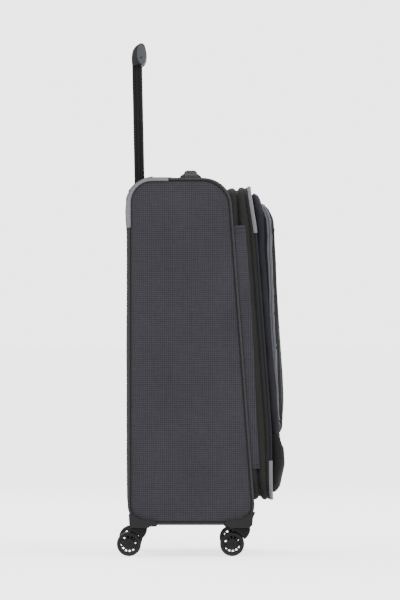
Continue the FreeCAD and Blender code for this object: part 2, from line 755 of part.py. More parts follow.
def zip_slider(label, place):
    body = new_body(label, place)
    primitive(body, "AdditiveBox", ("soft_gap", "-slider_length / 2", "-slider_width / 2"),
              Length="slider_height", Width="slider_length", Height="slider_width")
    primitive(body, "AdditiveBox", ("soft_gap + slider_height", -2.6, -1.5),
              Length=3.8, Width=5.2, Height=3)
    primitive(body, "SubtractiveCylinder", ("pull_axis", 0, -3), Radius=1.2, Height=6)
    return keep(body, label)


def zip_pull(label, place):
    body = new_body(label, place)
    primitive(body, "AdditiveCylinder", ("pull_axis", 0, -4.2), Radius=0.9, Height=8.4)
    for edge in (-4.2, 2.2):
        primitive(body, "AdditiveBox", ("pull_axis - 0.9", -6.4, edge), Length=1.8, Width=7.3, Height=2)
    primitive(body, "AdditiveBox", ("pull_axis - 0.8", "-pull_length", "-slider_width / 2"),
              Length=1.6, Width="pull_length - 5.6", Height="slider_width")
    return keep(body, label)


# The closing zips run up the right side; the pocket zips lie on the pockets' faces.
FACE_UP = Rotation(Z_AXIS, Y_AXIS, X_AXIS.negative(), "XYZ")
FACE_ACROSS = Rotation(Z_AXIS, X_AXIS, Y_AXIS, "XYZ")
face_tilt = Rotation(X_AXIS, math.degrees(math.atan(size("pocket_slope"))))
pocket_zip_up = size("pocket_face_high - 24")
pocket_zip_out = size("pocket_depth_low") + (pocket_zip_up - size("pocket_face_low")) * size("pocket_slope")
SLIDERS = (
    ("upper_main", Vector(size("opening_half"), 486, 12.5), Rotation()),
    ("lower_main", Vector(size("opening_half"), 440, 12.5), Rotation()),
    ("expander", Vector(size("opening_half"), 250, 33.7), Rotation()),
    ("front_pocket", Vector(-196, pocket_zip_up, pocket_zip_out), face_tilt.multiply(FACE_UP)),
    ("lower_pocket", Vector(150, size("pocket_split") - 12, size("lower_zip_depth")), FACE_ACROSS),
)
for name, spot, turn in SLIDERS:
    where = FRONT.multiply(Placement(spot, turn))
    zip_slider(name + "_slider", where)
    zip_pull(name + "_pull", where)


# ---------------------------------------------------------------- checks and files

doc.recompute()
for thing in doc.Objects:
    if "Invalid" in thing.State or "Error" in thing.State:
        raise RuntimeError("%s did not build" % thing.Label)
for thing in sub_parts:
    if thing.Shape.isNull() or not thing.Shape.isValid():
        raise RuntimeError("%s has no sound shape" % thing.Label)

os.makedirs("parts", exist_ok=True)
for thing in sub_parts:
    thing.Shape.exportStep("parts/%s.step" % thing.Label)
    box = thing.Shape.BoundBox
    print("%-24s solids %d  X %7.1f %7.1f  Y %7.1f %7.1f  Z %7.1f %7.1f" % (
        thing.Label, len(thing.Shape.Solids), box.XMin, box.XMax, box.YMin, box.YMax, box.ZMin, box.ZMax))
print("%d sub-parts" % len(sub_parts))
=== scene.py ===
import json
import math

import bmesh
import bpy
from mathutils import Matrix, Vector, noise
from mathutils.geometry import delaunay_2d_cdt
from mathutils.kdtree import KDTree


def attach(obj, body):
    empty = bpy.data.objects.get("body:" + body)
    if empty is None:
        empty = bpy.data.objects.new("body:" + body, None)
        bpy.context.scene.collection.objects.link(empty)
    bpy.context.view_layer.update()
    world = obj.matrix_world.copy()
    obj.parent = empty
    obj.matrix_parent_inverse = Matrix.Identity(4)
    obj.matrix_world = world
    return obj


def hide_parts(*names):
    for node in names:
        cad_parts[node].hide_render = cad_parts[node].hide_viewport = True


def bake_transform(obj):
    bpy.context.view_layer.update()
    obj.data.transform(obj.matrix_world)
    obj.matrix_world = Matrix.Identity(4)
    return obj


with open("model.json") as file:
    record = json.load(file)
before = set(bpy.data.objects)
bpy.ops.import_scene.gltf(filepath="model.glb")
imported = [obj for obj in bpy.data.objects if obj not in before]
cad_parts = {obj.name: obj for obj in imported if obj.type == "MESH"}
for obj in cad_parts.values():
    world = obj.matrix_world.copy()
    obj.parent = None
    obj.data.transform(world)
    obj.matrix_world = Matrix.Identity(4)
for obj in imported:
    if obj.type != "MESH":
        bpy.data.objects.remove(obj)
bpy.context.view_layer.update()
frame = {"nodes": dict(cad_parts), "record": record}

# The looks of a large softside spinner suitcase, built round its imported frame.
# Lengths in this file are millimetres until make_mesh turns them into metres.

MM = 0.001

# ---------------------------------------------------------------- sizes shared with the design

HALF_WIDTH = 240
BACK = 148
CASE_TOP = 776
CASE_FOOT = 65
FRONT_FOOT = -119.4
LEAN_SLOPE = 0.0752
LEAN = math.atan(LEAN_SLOPE)
UP_FRONT = Vector((0, math.sin(LEAN), math.cos(LEAN)))
OUT_FRONT = Vector((0, -math.cos(LEAN), math.sin(LEAN)))
SIDE_CORNERS = ((FRONT_FOOT + CASE_FOOT * LEAN_SLOPE, CASE_FOOT), (BACK, CASE_FOOT),
                (BACK, CASE_TOP), (FRONT_FOOT + CASE_TOP * LEAN_SLOPE, CASE_TOP))
SIDE_RADII = (40, 40, 50, 60)
OPENING_HALF = 238.5
OPENING_LOW = 117
OPENING_HIGH = 757
OPENING_RADIUS = 50
HINGE_LOW = 183
HINGE_HIGH = 668
FACE_SLOPE = 0.0289
TOP_SEAM = 716
FOOT_SEAM = 97


def front(x, up, out):
    """A point from across, up the leaning front plane and out from it."""
    return Vector((x, FRONT_FOOT, 0)) + UP_FRONT * up + OUT_FRONT * out


def lid_bow(point):
    """The lid bows: its outer edge lies nearer to the case at its top and foot, and its foot sags."""
    up = (point - front(0, 0, 0)).dot(UP_FRONT)
    out = (point - front(0, 0, 0)).dot(OUT_FRONT)
    pulled = 6.0 * smooth_step(655, 757, up) + 8.0 * (1 - smooth_step(117, 270, up))
    sag = 2.6 * (1 - smooth_step(117, 190, up)) * smooth_step(13, 30, out)
    return point - OUT_FRONT * (pulled * smooth_step(14, 42, out)) - UP_FRONT * sag


def smooth_step(low, high, value):
    share = min(max((value - low) / (high - low), 0), 1)
    return share * share * (3 - 2 * share)


def bell(value, centre, width):
    return math.exp(-((value - centre) / width) ** 2)


# ---------------------------------------------------------------- node materials

def add_node(tree, kind, values=None, **settings):
    """A shader node; its inputs are given as numbers, colours or other nodes' sockets."""
    node = tree.nodes.new("ShaderNode" + kind)
    for name, value in settings.items():
        setattr(node, name, value)
    for key, value in (values or {}).items():
        if isinstance(value, bpy.types.NodeSocket):
            tree.links.new(value, node.inputs[key])
        else:
            node.inputs[key].default_value = value
    return node


def maths(tree, operation, first, second=0.0, third=0.0):
    return add_node(tree, "Math", {0: first, 1: second, 2: third}, operation=operation).outputs[0]


def plus(tree, first, second):
    return maths(tree, "ADD", first, second)


def minus(tree, first, second):
    return maths(tree, "SUBTRACT", first, second)


def times(tree, first, second):
    return maths(tree, "MULTIPLY", first, second)


def clamp(tree, value):
    """A value held between 0 and 1."""
    return maths(tree, "MINIMUM", maths(tree, "MAXIMUM", value, 0.0), 1.0)


def blend_colour(tree, share, first, second):
    """Mix two colours, given as RGB tuples or sockets, by a share from 0 to 1."""
    node = tree.nodes.new("ShaderNodeMix")
    node.data_type = "RGBA"
    for socket, value in ((node.inputs[0], share), (node.inputs[6], first), (node.inputs[7], second)):
        if isinstance(value, bpy.types.NodeSocket):
            tree.links.new(value, socket)
        else:
            socket.default_value = (*value, 1) if isinstance(value, tuple) else value
    return node.outputs[2]


def ramp(tree, value, stops):
    """A grey ramp from (place, brightness) stops."""
    node = add_node(tree, "ValToRGB", {0: value})
    elements = node.color_ramp.elements
    while len(elements) < len(stops):
        elements.new(0.5)
    for element, (place, grey) in zip(elements, stops):
        element.position = place
        element.color = (grey, grey, grey, 1)
    return node.outputs[0]


def noise_field(tree, coordinates, scale, detail=3.0, roughness=0.55):
    return add_node(tree, "TexNoise", {"Vector": coordinates, "Scale": scale, "Detail": detail,
                                       "Roughness": roughness}).outputs[0]


def object_coordinates(tree):
    return add_node(tree, "TexCoord").outputs["Object"]


def face_coordinates(tree):
    """Two coordinates in metres that lie in the surface, whichever way it faces."""
    source = add_node(tree, "TexCoord")
    normal = add_node(tree, "SeparateXYZ", {0: source.outputs["Normal"]})
    place = add_node(tree, "SeparateXYZ", {0: source.outputs["Object"]})
    size = [maths(tree, "ABSOLUTE", normal.outputs[axis]) for axis in range(3)]
    faces_x = maths(tree, "GREATER_THAN", size[0], maths(tree, "MAXIMUM", size[1], size[2]))
    faces_z = maths(tree, "GREATER_THAN", size[2], maths(tree, "MAXIMUM", size[0], size[1]))
    across = add_node(tree, "Mix", {0: faces_x, 2: place.outputs[0], 3: place.outputs[1]}).outputs[0]
    up = add_node(tree, "Mix", {0: faces_z, 2: place.outputs[2], 3: place.outputs[1]}).outputs[0]
    return across, up


def weave_height(tree, across, up, pitch):
    """The relief of a plain weave: two sets of threads that pass over and under."""
    warp = maths(tree, "SINE", times(tree, across, math.pi / pitch))
    weft = maths(tree, "SINE", times(tree, up, math.pi / pitch))
    over = maths(tree, "GREATER_THAN", times(tree, warp, weft), 0.0)
    return add_node(tree, "Mix", {0: over, 2: maths(tree, "ABSOLUTE", warp),
                                  3: maths(tree, "ABSOLUTE", weft)}).outputs[0]


def bump(tree, height, strength, distance, normal=None):
    values = {"Height": height, "Strength": strength, "Distance": distance}
    if normal is not None:
        values["Normal"] = normal
    return add_node(tree, "Bump", values).outputs[0]


def new_material(name):
    material = bpy.data.materials.new(name)
    material.use_nodes = True
    tree = material.node_tree
    shader = next(node for node in tree.nodes if node.type == "BSDF_PRINCIPLED")
    return material, tree, shader


def finish_material(tree, shader, colour, roughness, normal, **uniform):
    """Connect the varying inputs and set the uniform ones on the shader's own sockets."""
    tree.links.new(colour, shader.inputs["Base Color"])
    tree.links.new(roughness, shader.inputs["Roughness"])
    tree.links.new(normal, shader.inputs["Normal"])
    for name, value in uniform.items():
        shader.inputs[name.replace("_", " ")].default_value = value


def check_material():
    """Two-tone mini-check cloth: pale squares between dark yarn lines, with worn variation."""
    material, tree, shader = new_material("check_cloth")
    across, up = face_coordinates(tree)
    where = object_coordinates(tree)
    lines = []
    for axis in (across, up):
        wave = maths(tree, "PINGPONG", axis, CHECK_PITCH / 2)
        lines.append(times(tree, wave, 2 / CHECK_PITCH))
    line_across = ramp(tree, lines[0], [(0.10, 0.25), (0.42, 1.0)])
    line_up = ramp(tree, lines[1], [(0.10, 0.25), (0.42, 1.0)])
    square = times(tree, line_across, line_up)
    half_square = times(tree, plus(tree, line_across, line_up), 0.5)
    pattern = plus(tree, times(tree, square, 0.55),
                    times(tree, half_square, 0.45))
    slub_across = noise_field(tree, add_node(tree, "Mapping", {0: where, 3: (40, 40, 900)}).outputs[0], 1.0)
    slub_up = noise_field(tree, add_node(tree, "Mapping", {0: where, 3: (900, 900, 40)}).outputs[0], 1.0)
    slub = plus(tree, slub_across, slub_up)
    cloud = noise_field(tree, where, 9.0, 2.0)
    tone = plus(tree, times(tree, pattern, 0.8),
                 times(tree, minus(tree, slub, 1.0), 0.55))
    tone = plus(tree, tone, times(tree, minus(tree, cloud, 0.5), 0.25))
    colour = blend_colour(tree, clamp(tree, tone),
                          CHECK_DARK, CHECK_PALE)
    threads = weave_height(tree, across, up, 0.00072)
    height = plus(tree, times(tree, threads, 0.5), times(tree, pattern, 0.6))
    normal = bump(tree, height, 0.5, 0.0004)
    rough = maths(tree, "MULTIPLY_ADD", threads, -0.12, 0.82)
    finish_material(tree, shader, colour, rough, normal, Sheen_Weight=0.06, Sheen_Roughness=0.45,
                    Specular_IOR_Level=0.12)
    return material


def cloth_material(name, dark, pale, pitch=0.0008, sheen=0.05, rough=0.85, relief=0.0003, soil=0.3):
    """Plain woven cloth with thread relief, uneven dye and slightly paler worn high spots."""
    material, tree, shader = new_material(name)
    across, up = face_coordinates(tree)
    where = object_coordinates(tree)
    threads = weave_height(tree, across, up, pitch)
    cloud = noise_field(tree, where, 14.0, 3.0)
    grain = noise_field(tree, where, 420.0, 2.0)
    tone = plus(tree, times(tree, threads, 0.45),
                 times(tree, minus(tree, cloud, 0.5), soil))
    tone = plus(tree, tone, times(tree, grain, 0.35))
    colour = blend_colour(tree, clamp(tree, tone), dark, pale)
    height = plus(tree, threads, times(tree, grain, 0.4))
    normal = bump(tree, height, 0.55, relief)
    roughness = maths(tree, "MULTIPLY_ADD", cloud, 0.12, rough - 0.06)
    finish_material(tree, shader, colour, roughness, normal, Sheen_Weight=sheen, Sheen_Roughness=0.5,
                    Specular_IOR_Level=0.12)
    return material


def ribbed_material(name, dark, pale, pitch, rough=0.6, relief=0.0005, specular=0.16):
    """Woven tape with ribs along the strip's length, read from its own UV in metres."""
    material, tree, shader = new_material(name)
    uv = add_node(tree, "UVMap").outputs[0]
    place = add_node(tree, "SeparateXYZ", {0: uv})
    where = object_coordinates(tree)
    rib = maths(tree, "ABSOLUTE", maths(tree, "SINE", times(tree, place.outputs[1], math.pi / pitch)))
    pick = maths(tree, "ABSOLUTE", maths(tree, "SINE", times(tree, place.outputs[0], math.pi / 0.0009)))
    cloud = noise_field(tree, where, 22.0, 2.0)
    tone = plus(tree, times(tree, rib, 0.5), times(tree, pick, 0.22))
    tone = plus(tree, tone, times(tree, cloud, 0.35))
    colour = blend_colour(tree, maths(tree, "MINIMUM", tone, 1.0), dark, pale)
    height = plus(tree, rib, times(tree, pick, 0.35))
    normal = bump(tree, height, 0.6, relief)
    roughness = maths(tree, "MULTIPLY_ADD", cloud, 0.15, rough - 0.07)
    finish_material(tree, shader, colour, roughness, normal, Sheen_Weight=0.05, Sheen_Roughness=0.4,
                    Specular_IOR_Level=specular)
    return material


def plastic_material(name, dark, pale, rough=0.45, grain=900.0, relief=0.00008, specular=0.22):
    """Moulded plastic: fine spark-eroded grain, faint flow marks and rubbed paler patches."""
    material, tree, shader = new_material(name)
    where = object_coordinates(tree)
    fine = noise_field(tree, where, grain, 2.0)
    flow = noise_field(tree, where, 28.0, 4.0, 0.65)
    scuff = ramp(tree, noise_field(tree, where, 110.0, 6.0, 0.75), [(0.56, 0.0), (0.72, 1.0)])
    tone = plus(tree, times(tree, flow, 0.45), times(tree, scuff, 0.3))
    colour = blend_colour(tree, tone, dark, pale)
    normal = bump(tree, plus(tree, fine, times(tree, scuff, 0.3)), 0.4, relief)
    roughness = plus(tree, maths(tree, "MULTIPLY_ADD", flow, 0.16, rough - 0.08),
                      times(tree, scuff, 0.1))
    finish_material(tree, shader, colour, roughness, normal, Specular_IOR_Level=specular)
    return material


def metal_material(name, dark, pale, rough=0.32, stretch=(900, 900, 12), metallic=1.0, specular=0.5):
    """Drawn metal with fine lines along one axis."""
    material, tree, shader = new_material(name)
    where = object_coordinates(tree)
    lines = noise_field(tree, add_node(tree, "Mapping", {0: where, 3: stretch}).outputs[0], 1.0, 3.0)
    cloud = noise_field(tree, where, 16.0, 3.0)
    tone = plus(tree, times(tree, lines, 0.6), times(tree, cloud, 0.4))
    colour = blend_colour(tree, tone, dark, pale)
    normal = bump(tree, lines, 0.12, 0.00006)
    roughness = maths(tree, "MULTIPLY_ADD", lines, 0.16, rough - 0.08)
    finish_material(tree, shader, colour, roughness, normal, Metallic=metallic, Specular_IOR_Level=specular)
    return material


CHECK_PITCH = 0.0043
CHECK_DARK = (0.011, 0.0107, 0.0132)
CHECK_PALE = (0.046, 0.045, 0.054)

MATERIALS = {
    "check_fabric": check_material(),
    "plain_fabric": cloth_material("black_cloth", (0.005, 0.005, 0.0055), (0.022, 0.022, 0.024)),
    "slate_fabric": cloth_material("slate_cloth", (0.006, 0.006, 0.009), (0.028, 0.028, 0.036), rough=0.72),
    "gusset_cloth": cloth_material("gusset_cloth", (0.004, 0.004, 0.004), (0.018, 0.018, 0.018), 0.0011),
    "zip_tape": ribbed_material("zip_tape", (0.0045, 0.0045, 0.0045), (0.024, 0.024, 0.023), 0.0016, 0.8,
                                0.0004, 0.12),
    "coil": plastic_material("zip_coil", (0.006, 0.006, 0.006), (0.028, 0.028, 0.029), 0.35),
    "piping": cloth_material("piping_cover", (0.019, 0.019, 0.021), (0.058, 0.058, 0.064), 0.0006,
                             rough=0.65),
    "grey_trim": ribbed_material("pale_trim", (0.115, 0.115, 0.128), (0.21, 0.21, 0.23), 0.0012),
    "grey_band": ribbed_material("grey_band", (0.048, 0.050, 0.058), (0.112, 0.117, 0.132), 0.0021, 0.42,
                                 0.0006),
    "webbing": ribbed_material("webbing", (0.006, 0.006, 0.0065), (0.032, 0.032, 0.034), 0.0019, 0.7, 0.0006),
    "thread": plastic_material("thread", (0.010, 0.010, 0.011), (0.045, 0.045, 0.048), 0.6, 2500.0),
    "guard_plastic": plastic_material("guard_plastic", (0.008, 0.008, 0.008), (0.022, 0.022, 0.0225), 0.5),
    "tray_plastic": plastic_material("tray_plastic", (0.006, 0.006, 0.0065), (0.02, 0.02, 0.021), 0.55),
    "fork_plastic": plastic_material("fork_plastic", (0.004, 0.004, 0.004), (0.014, 0.014, 0.0145), 0.5),
    "wheel_plastic": plastic_material("wheel_plastic", (0.005, 0.005, 0.005), (0.018, 0.018, 0.0185), 0.4),
    "tread": plastic_material("wheel_tread", (0.009, 0.009, 0.009), (0.028, 0.028, 0.029), 0.62, 1400.0,
                              0.00012),
    "grip_plastic": plastic_material("grip_plastic", (0.008, 0.008, 0.009), (0.030, 0.030, 0.032), 0.4),
    "grip_pad": plastic_material("grip_rubber", (0.045, 0.047, 0.053), (0.11, 0.113, 0.125), 0.6, 1500.0,
                                 0.00015),
    "button_plastic": plastic_material("button_plastic", (0.03, 0.03, 0.032), (0.07, 0.07, 0.074), 0.3,
                                       specular=0.5),
    "tube_metal": metal_material("anodised_tube", (0.004, 0.004, 0.0043), (0.013, 0.013, 0.0137), 0.46,
                                 metallic=0.1, specular=0.14),
    "pin_steel": metal_material("pin_steel", (0.3, 0.3, 0.3), (0.6, 0.6, 0.6), 0.3),
    "spring_wire": metal_material("spring_wire", (0.25, 0.25, 0.25), (0.5, 0.5, 0.5), 0.4),
    "zip_metal": metal_material("gunmetal", (0.014, 0.014, 0.015), (0.05, 0.05, 0.054), 0.38,
                                (300, 300, 300), 0.8),
    "lining_board": cloth_material("lining", (0.022, 0.023, 0.026), (0.075, 0.077, 0.084), 0.0006, 0.1, 0.75),
    "mesh_net": cloth_material("mesh_net", (0.008, 0.008, 0.009), (0.035, 0.035, 0.037), 0.002, 0.05, 0.8),
}
# for each material with no slot of its own in the record, the nearest slot
RECORD_SLOT = {"slate_fabric": "plain_fabric", "coil": "zip_tape", "grey_band": "grey_trim",
               "thread": "webbing", "tread": "wheel_plastic", "mesh_net": "gusset_cloth"}


# ---------------------------------------------------------------- pieces and meshes

def clothe(piece, material, body):
    """Give a piece its material and let it ride on its body."""
    piece.data.materials.append(MATERIALS[material])
    RECORD_SLOT.get(material, material)
    if body:
        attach(piece, body)
    return piece


def make_mesh(name, vertices, faces, material, body, uvs=None, shape=None):
    """A mesh object from points in millimetres; uvs are one (along, across) pair per vertex.

    shape is a function that moves each point, such as lid_bow.
    """
    mesh = bpy.data.meshes.new(name)
    if shape:
        vertices = [shape(Vector(vertex)) for vertex in vertices]
    mesh.from_pydata([tuple(Vector(vertex) * MM) for vertex in vertices], [], faces)
    if uvs:
        layer = mesh.uv_layers.new(name="UVMap")
        for loop in mesh.loops:
            along, across = uvs[loop.vertex_index]
            layer.data[loop.index].uv = (along * MM, across * MM)
    work = bmesh.new()
    work.from_mesh(mesh)
    bmesh.ops.recalc_face_normals(work, faces=work.faces)
    work.to_mesh(mesh)
    work.free()
    mesh.polygons.foreach_set("use_smooth", [True] * len(mesh.polygons))
    piece = bpy.data.objects.new(name, mesh)
    bpy.context.scene.collection.objects.link(piece)
    return clothe(piece, material, body)


def with_modifier(piece, kind, **settings):
    modifier = piece.modifiers.new(kind.lower(), kind)
    for key, value in settings.items():
        setattr(modifier, key, value)
    return piece


def apply_modifiers(piece):
    """Bake a piece's modifiers into its mesh."""
    depsgraph = bpy.context.evaluated_depsgraph_get()
    mesh = bpy.data.meshes.new_from_object(piece.evaluated_get(depsgraph))
    piece.modifiers.clear()
    piece.data = mesh
    mesh.polygons.foreach_set("use_smooth", [True] * len(mesh.polygons))
    return piece


def join_pieces(name, material, body, parts, node=None, shape=None):
    """One piece from several (vertices, faces, uvs) parts; it may replace a node of the design."""
    vertices, faces, uvs = [], [], []
    for part_vertices, part_faces, part_uvs in parts:
        start = len(vertices)
        vertices += part_vertices
        faces += [tuple(start + index for index in face) for face in part_faces]
        uvs += part_uvs
    piece = make_mesh(name, vertices, faces, material, body, uvs, shape=shape)
    if node:
        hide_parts(node)
    return piece


def rounded_loop(corners, radii, step):
    """Points, outward normals and distances round a closed outline with rounded corners."""
    points, normals = [], []
    count = len(corners)
    centre = sum((Vector(corner) for corner in corners), Vector((0, 0))) / count
    for index, radius in enumerate(radii):
        here = Vector(corners[index])
        before = (Vector(corners[index - 1]) - here).normalized()
        after = (Vector(corners[(index + 1) % count]) - here).normalized()
        half_angle = before.angle(after) / 2
        cut = radius / math.tan(half_angle)
        middle = here + (before + after).normalized() * (radius / math.sin(half_angle))
        first = here + before * cut - middle
        turn = math.pi - 2 * half_angle
        side = 1 if first.cross(here - middle) > 0 else -1
        stations = max(int(radius * turn / step), 6)
        for number in range(stations + 1):
            arm = Matrix.Rotation(side * turn * number / stations, 2) @ first
            points.append(middle + arm)
            normals.append(arm.normalized())
        run_end = Vector(corners[(index + 1) % count])
        next_before = (here - run_end).normalized()
        next_half = next_before.angle((Vector(corners[(index + 2) % count]) - run_end).normalized()) / 2
        target = run_end + next_before * (radii[(index + 1) % count] / math.tan(next_half))
        start = points[-1]
        pieces = max(int((target - start).length / step), 1)
        outward = Vector((after.y, -after.x))
        if outward.dot(start - centre) < 0:
            outward = -outward
        for number in range(1, pieces):
            points.append(start.lerp(target, number / pieces))
            normals.append(outward)
    distances = [0.0]
    for index in range(1, len(points)):
        distances.append(distances[-1] + (points[index] - points[index - 1]).length)
    return points, normals, distances


def side_loop(step, grow=0.0):
    """The case's side outline as (Y, Z) points, grown outward."""
    points, normals, distances = rounded_loop(SIDE_CORNERS, SIDE_RADII, step)
    for seam in (TOP_SEAM, FOOT_SEAM):
        for index in range(len(points) - 1, 0, -1):
            before, after = points[index - 1], points[index]
            if (before.y - seam) * (after.y - seam) < 0:
                share = (seam - before.y) / (after.y - before.y)
                points.insert(index, before.lerp(after, share))
                normals.insert(index, normals[index - 1].lerp(normals[index], share).normalized())
                distances.insert(index, distances[index - 1] + share * (after - before).length)
    return [point + normal * grow for point, normal in zip(points, normals)], normals, distances


def opening_loop(step, grow=0.0):
    """The opening's outline as (X, up the front) points, grown outward."""
    corners = ((-OPENING_HALF, OPENING_LOW), (-OPENING_HALF, OPENING_HIGH),
               (OPENING_HALF, OPENING_HIGH), (OPENING_HALF, OPENING_LOW))
    points, normals, distances = rounded_loop(corners, (OPENING_RADIUS,) * 4, step)
    return [point + normal * grow for point, normal in zip(points, normals)], normals, distances


def skin_faces(rings, width, closed_path=False, closed_profile=True):
    """Faces between rings of points, with a cap at each end of an open tube."""
    faces = []
    for ring in range(rings if closed_path else rings - 1):
        here = ring * width
        there = ((ring + 1) % rings) * width
        for index in range(width if closed_profile else width - 1):
            after = (index + 1) % width
            faces.append((here + index, here + after, there + after, there + index))
    if closed_profile and not closed_path:
        faces.append(tuple(reversed(range(width))))
        faces.append(tuple(range((rings - 1) * width, rings * width)))
    return faces


def sweep(frames, profile, closed_path=False, closed_profile=True, distances=None):
    """Skin a profile along frames; a frame is (origin, first axis, second axis).

    The profile's points are (first, second) offsets. Returns vertices, faces and uvs, where a
    uv is the distance along the path and the distance round the profile.
    """
    vertices, uvs = [], []
    round_profile = [0.0]
    for before, after in zip(profile, profile[1:]):
        round_profile.append(round_profile[-1] + (Vector(after) - Vector(before)).length)
    along = distances or [0.0]
    if not distances:
        for before, after in zip(frames, frames[1:]):
            along.append(along[-1] + (after[0] - before[0]).length)
    for (origin, first, second), place in zip(frames, along):
        for (a, b), around in zip(profile, round_profile):
            vertices.append(origin + first * a + second * b)
            uvs.append((place, around))
    return vertices, skin_faces(len(frames), len(profile), closed_path, closed_profile), uvs


def ellipse(half_a, half_b, count=12, centre=(0, 0)):
    return [(centre[0] + half_a * math.cos(2 * math.pi * index / count),
             centre[1] + half_b * math.sin(2 * math.pi * index / count)) for index in range(count)]


def rounded_section(a_low, a_high, b_low, b_high, radius, steps=3):
    """A rectangle with rounded corners as profile points."""
    points = []
    corners = ((a_high - radius, b_high - radius, 0), (a_low + radius, b_high - radius, 90),
               (a_low + radius, b_low + radius, 180), (a_high - radius, b_low + radius, 270))
    for centre_a, centre_b, start in corners:
        for number in range(steps + 1):
            angle = math.radians(start + 90 * number / steps)
            points.append((centre_a + radius * math.cos(angle), centre_b + radius * math.sin(angle)))
    return points


def resample(points, step):
    """Points at even steps along a polyline of vectors, with the tangent at each."""
    lengths = [0.0]
    for before, after in zip(points, points[1:]):
        lengths.append(lengths[-1] + (after - before).length)
    count = max(int(round(lengths[-1] / step)), 2)
    result, position = [], 0
    for number in range(count + 1):
        target = lengths[-1] * number / count
        while position < len(lengths) - 2 and lengths[position + 1] < target:
            position += 1
        span = lengths[position + 1] - lengths[position]
        share = (target - lengths[position]) / span if span else 0
        tangent = (points[position + 1] - points[position]).normalized()
        result.append((points[position].lerp(points[position + 1], share), tangent, target))
    return result


STITCH_RINGS = ((-0.5, -0.25, 0.45), (-0.3, 0.15, 1.0), (0.3, 0.15, 1.0), (0.5, -0.25, 0.45))


def stitches(name, path, normals, body, length=2.6, gap=1.5, thick=0.55, shape=None):
    """A row of separate raised stitches along a path, on a surface with the given normals."""
    tree = KDTree(len(path))
    for index, point in enumerate(path):
        tree.insert(point, index)
    tree.balance()
    parts = []
    for point, tangent, _ in resample(path, length + gap):
        _, index, _ = tree.find(point)
        up = normals[index].normalized()
        side = tangent.cross(up).normalized()
        frames = []
        for along, rise, width in STITCH_RINGS:
            centre = point + tangent * (along * length) + up * (rise * thick)
            frames.append((centre, side * (thick * width), up * (thick * 0.6 * width)))
        parts.append(sweep(frames, ellipse(1, 1, 6)))
    return join_pieces(name, "thread", body, parts, shape=shape)


def filled_panel(loop, normals, insets, spacing):
    """Triangles that fill an outline: rings near its edge and an even field inside.

    Returns the 2D points, the triangles and each point's distance from the outline.
    """
    rings = [[point - normal * inset for point, normal in zip(loop, normals)] for inset in insets]
    points = [point for ring in rings for point in ring]
    edge = KDTree(len(loop))
    for index, point in enumerate(loop):
        edge.insert((point.x, point.y, 0), index)
    edge.balance()
    low = Vector((min(p.x for p in loop), min(p.y for p in loop)))
    high = Vector((max(p.x for p in loop), max(p.y for p in loop)))
    rows = int((high.y - low.y) / (spacing * 0.87))
    for row in range(rows):
        start = low.x + (spacing / 2 if row % 2 else 0)
        for column in range(int((high.x - low.x) / spacing) + 1):
            point = Vector((start + column * spacing, low.y + row * spacing * 0.87))
            _, index, distance = edge.find((point.x, point.y, 0))
            inward = (point - loop[index]).dot(normals[index]) < 0
            if inward and distance > insets[-1] + spacing * 0.6:
                points.append(point)
    count = len(loop)
    rim = [(index, (index + 1) % count) for index in range(count)]
    flat, _, triangles, _, _, _ = delaunay_2d_cdt(points, rim, [], 1, 1e-4)
    depths = [edge.find((point.x, point.y, 0))[2] for point in flat]
    return flat, triangles, depths


def filled_cloth(name, outline, insets, spacing, place, material, body, shape=None):
    """A cloth that fills an outline; place(point, depth) gives each point in 3D."""
    flat, triangles, depths = filled_panel(*outline[:2], insets, spacing)
    vertices = [place(point, depth) for point, depth in zip(flat, depths)]
    return make_mesh(name, vertices, triangles, material, body, shape=shape)


def wrinkle(x, y, z, size=60.0, seed=0.0):
    """Soft folds in cloth: smooth noise between -1 and 1, the same on every run."""
    place = Vector((x / size + seed, y / size, z / size))
    return noise.noise(place) + 0.4 * noise.noise(place * 2.3)


# ---------------------------------------------------------------- the case's cloth

PANEL_INSETS = (0.6, 2.5, 4.5, 6.5, 9, 12, 17, 25, 35)
SEAM_DEPTH = 1.4
SIDE_CROWN = 4.0


def side_height(depth, y, z):
    """How far the side cloth stands beyond the panel's outer face, from its seam inward."""
    groove = -SEAM_DEPTH * bell(depth, 4.6, 2.6)
    crown = SIDE_CROWN * smooth_step(4, 130, depth)
    return 0.5 + groove + crown + 0.45 * wrinkle(0, y, z, 90) * smooth_step(6, 60, depth)


def case_side(name, sign, node):
    def place(point, depth):
        return sign * (HALF_WIDTH + side_height(depth, point.x, point.y)), point.x, point.y

    piece = filled_cloth(name, side_loop(7), PANEL_INSETS, 14, place, "check_fabric", "case")
    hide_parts(node)
    return piece


def back_bulge(height):
    """How far the unsupported cloth stands out behind, near the top and between the ribs."""
    return 3.4 * bell(height, 712, 34) + 1.2 * bell(height, 430, 260)


CHANNEL_RISE = 1.5
TUBE_SPAN = 75
TRAY_HALF = 108
TRAY_FRONT = 101
TRAY_BACK = 143


def cut_window(piece, low, high):
    """Cut a straight-edged hole in a cloth, where it lies inside a box."""
    work = bmesh.new()
    work.from_mesh(piece.data)
    for axis in (0, 1):
        for edge in (low[axis], high[axis]):
            place, normal = Vector(), Vector()
            place[axis], normal[axis] = edge * MM, 1
            bmesh.ops.bisect_plane(work, geom=work.verts[:] + work.edges[:] + work.faces[:], plane_co=place,
                                   plane_no=normal)
    inside = [face for face in work.faces
              if all(a * MM < middle < b * MM for a, middle, b in zip(low, face.calc_center_median(), high))]
    bmesh.ops.delete(work, geom=inside, context="FACES")
    work.to_mesh(piece.data)
    work.free()


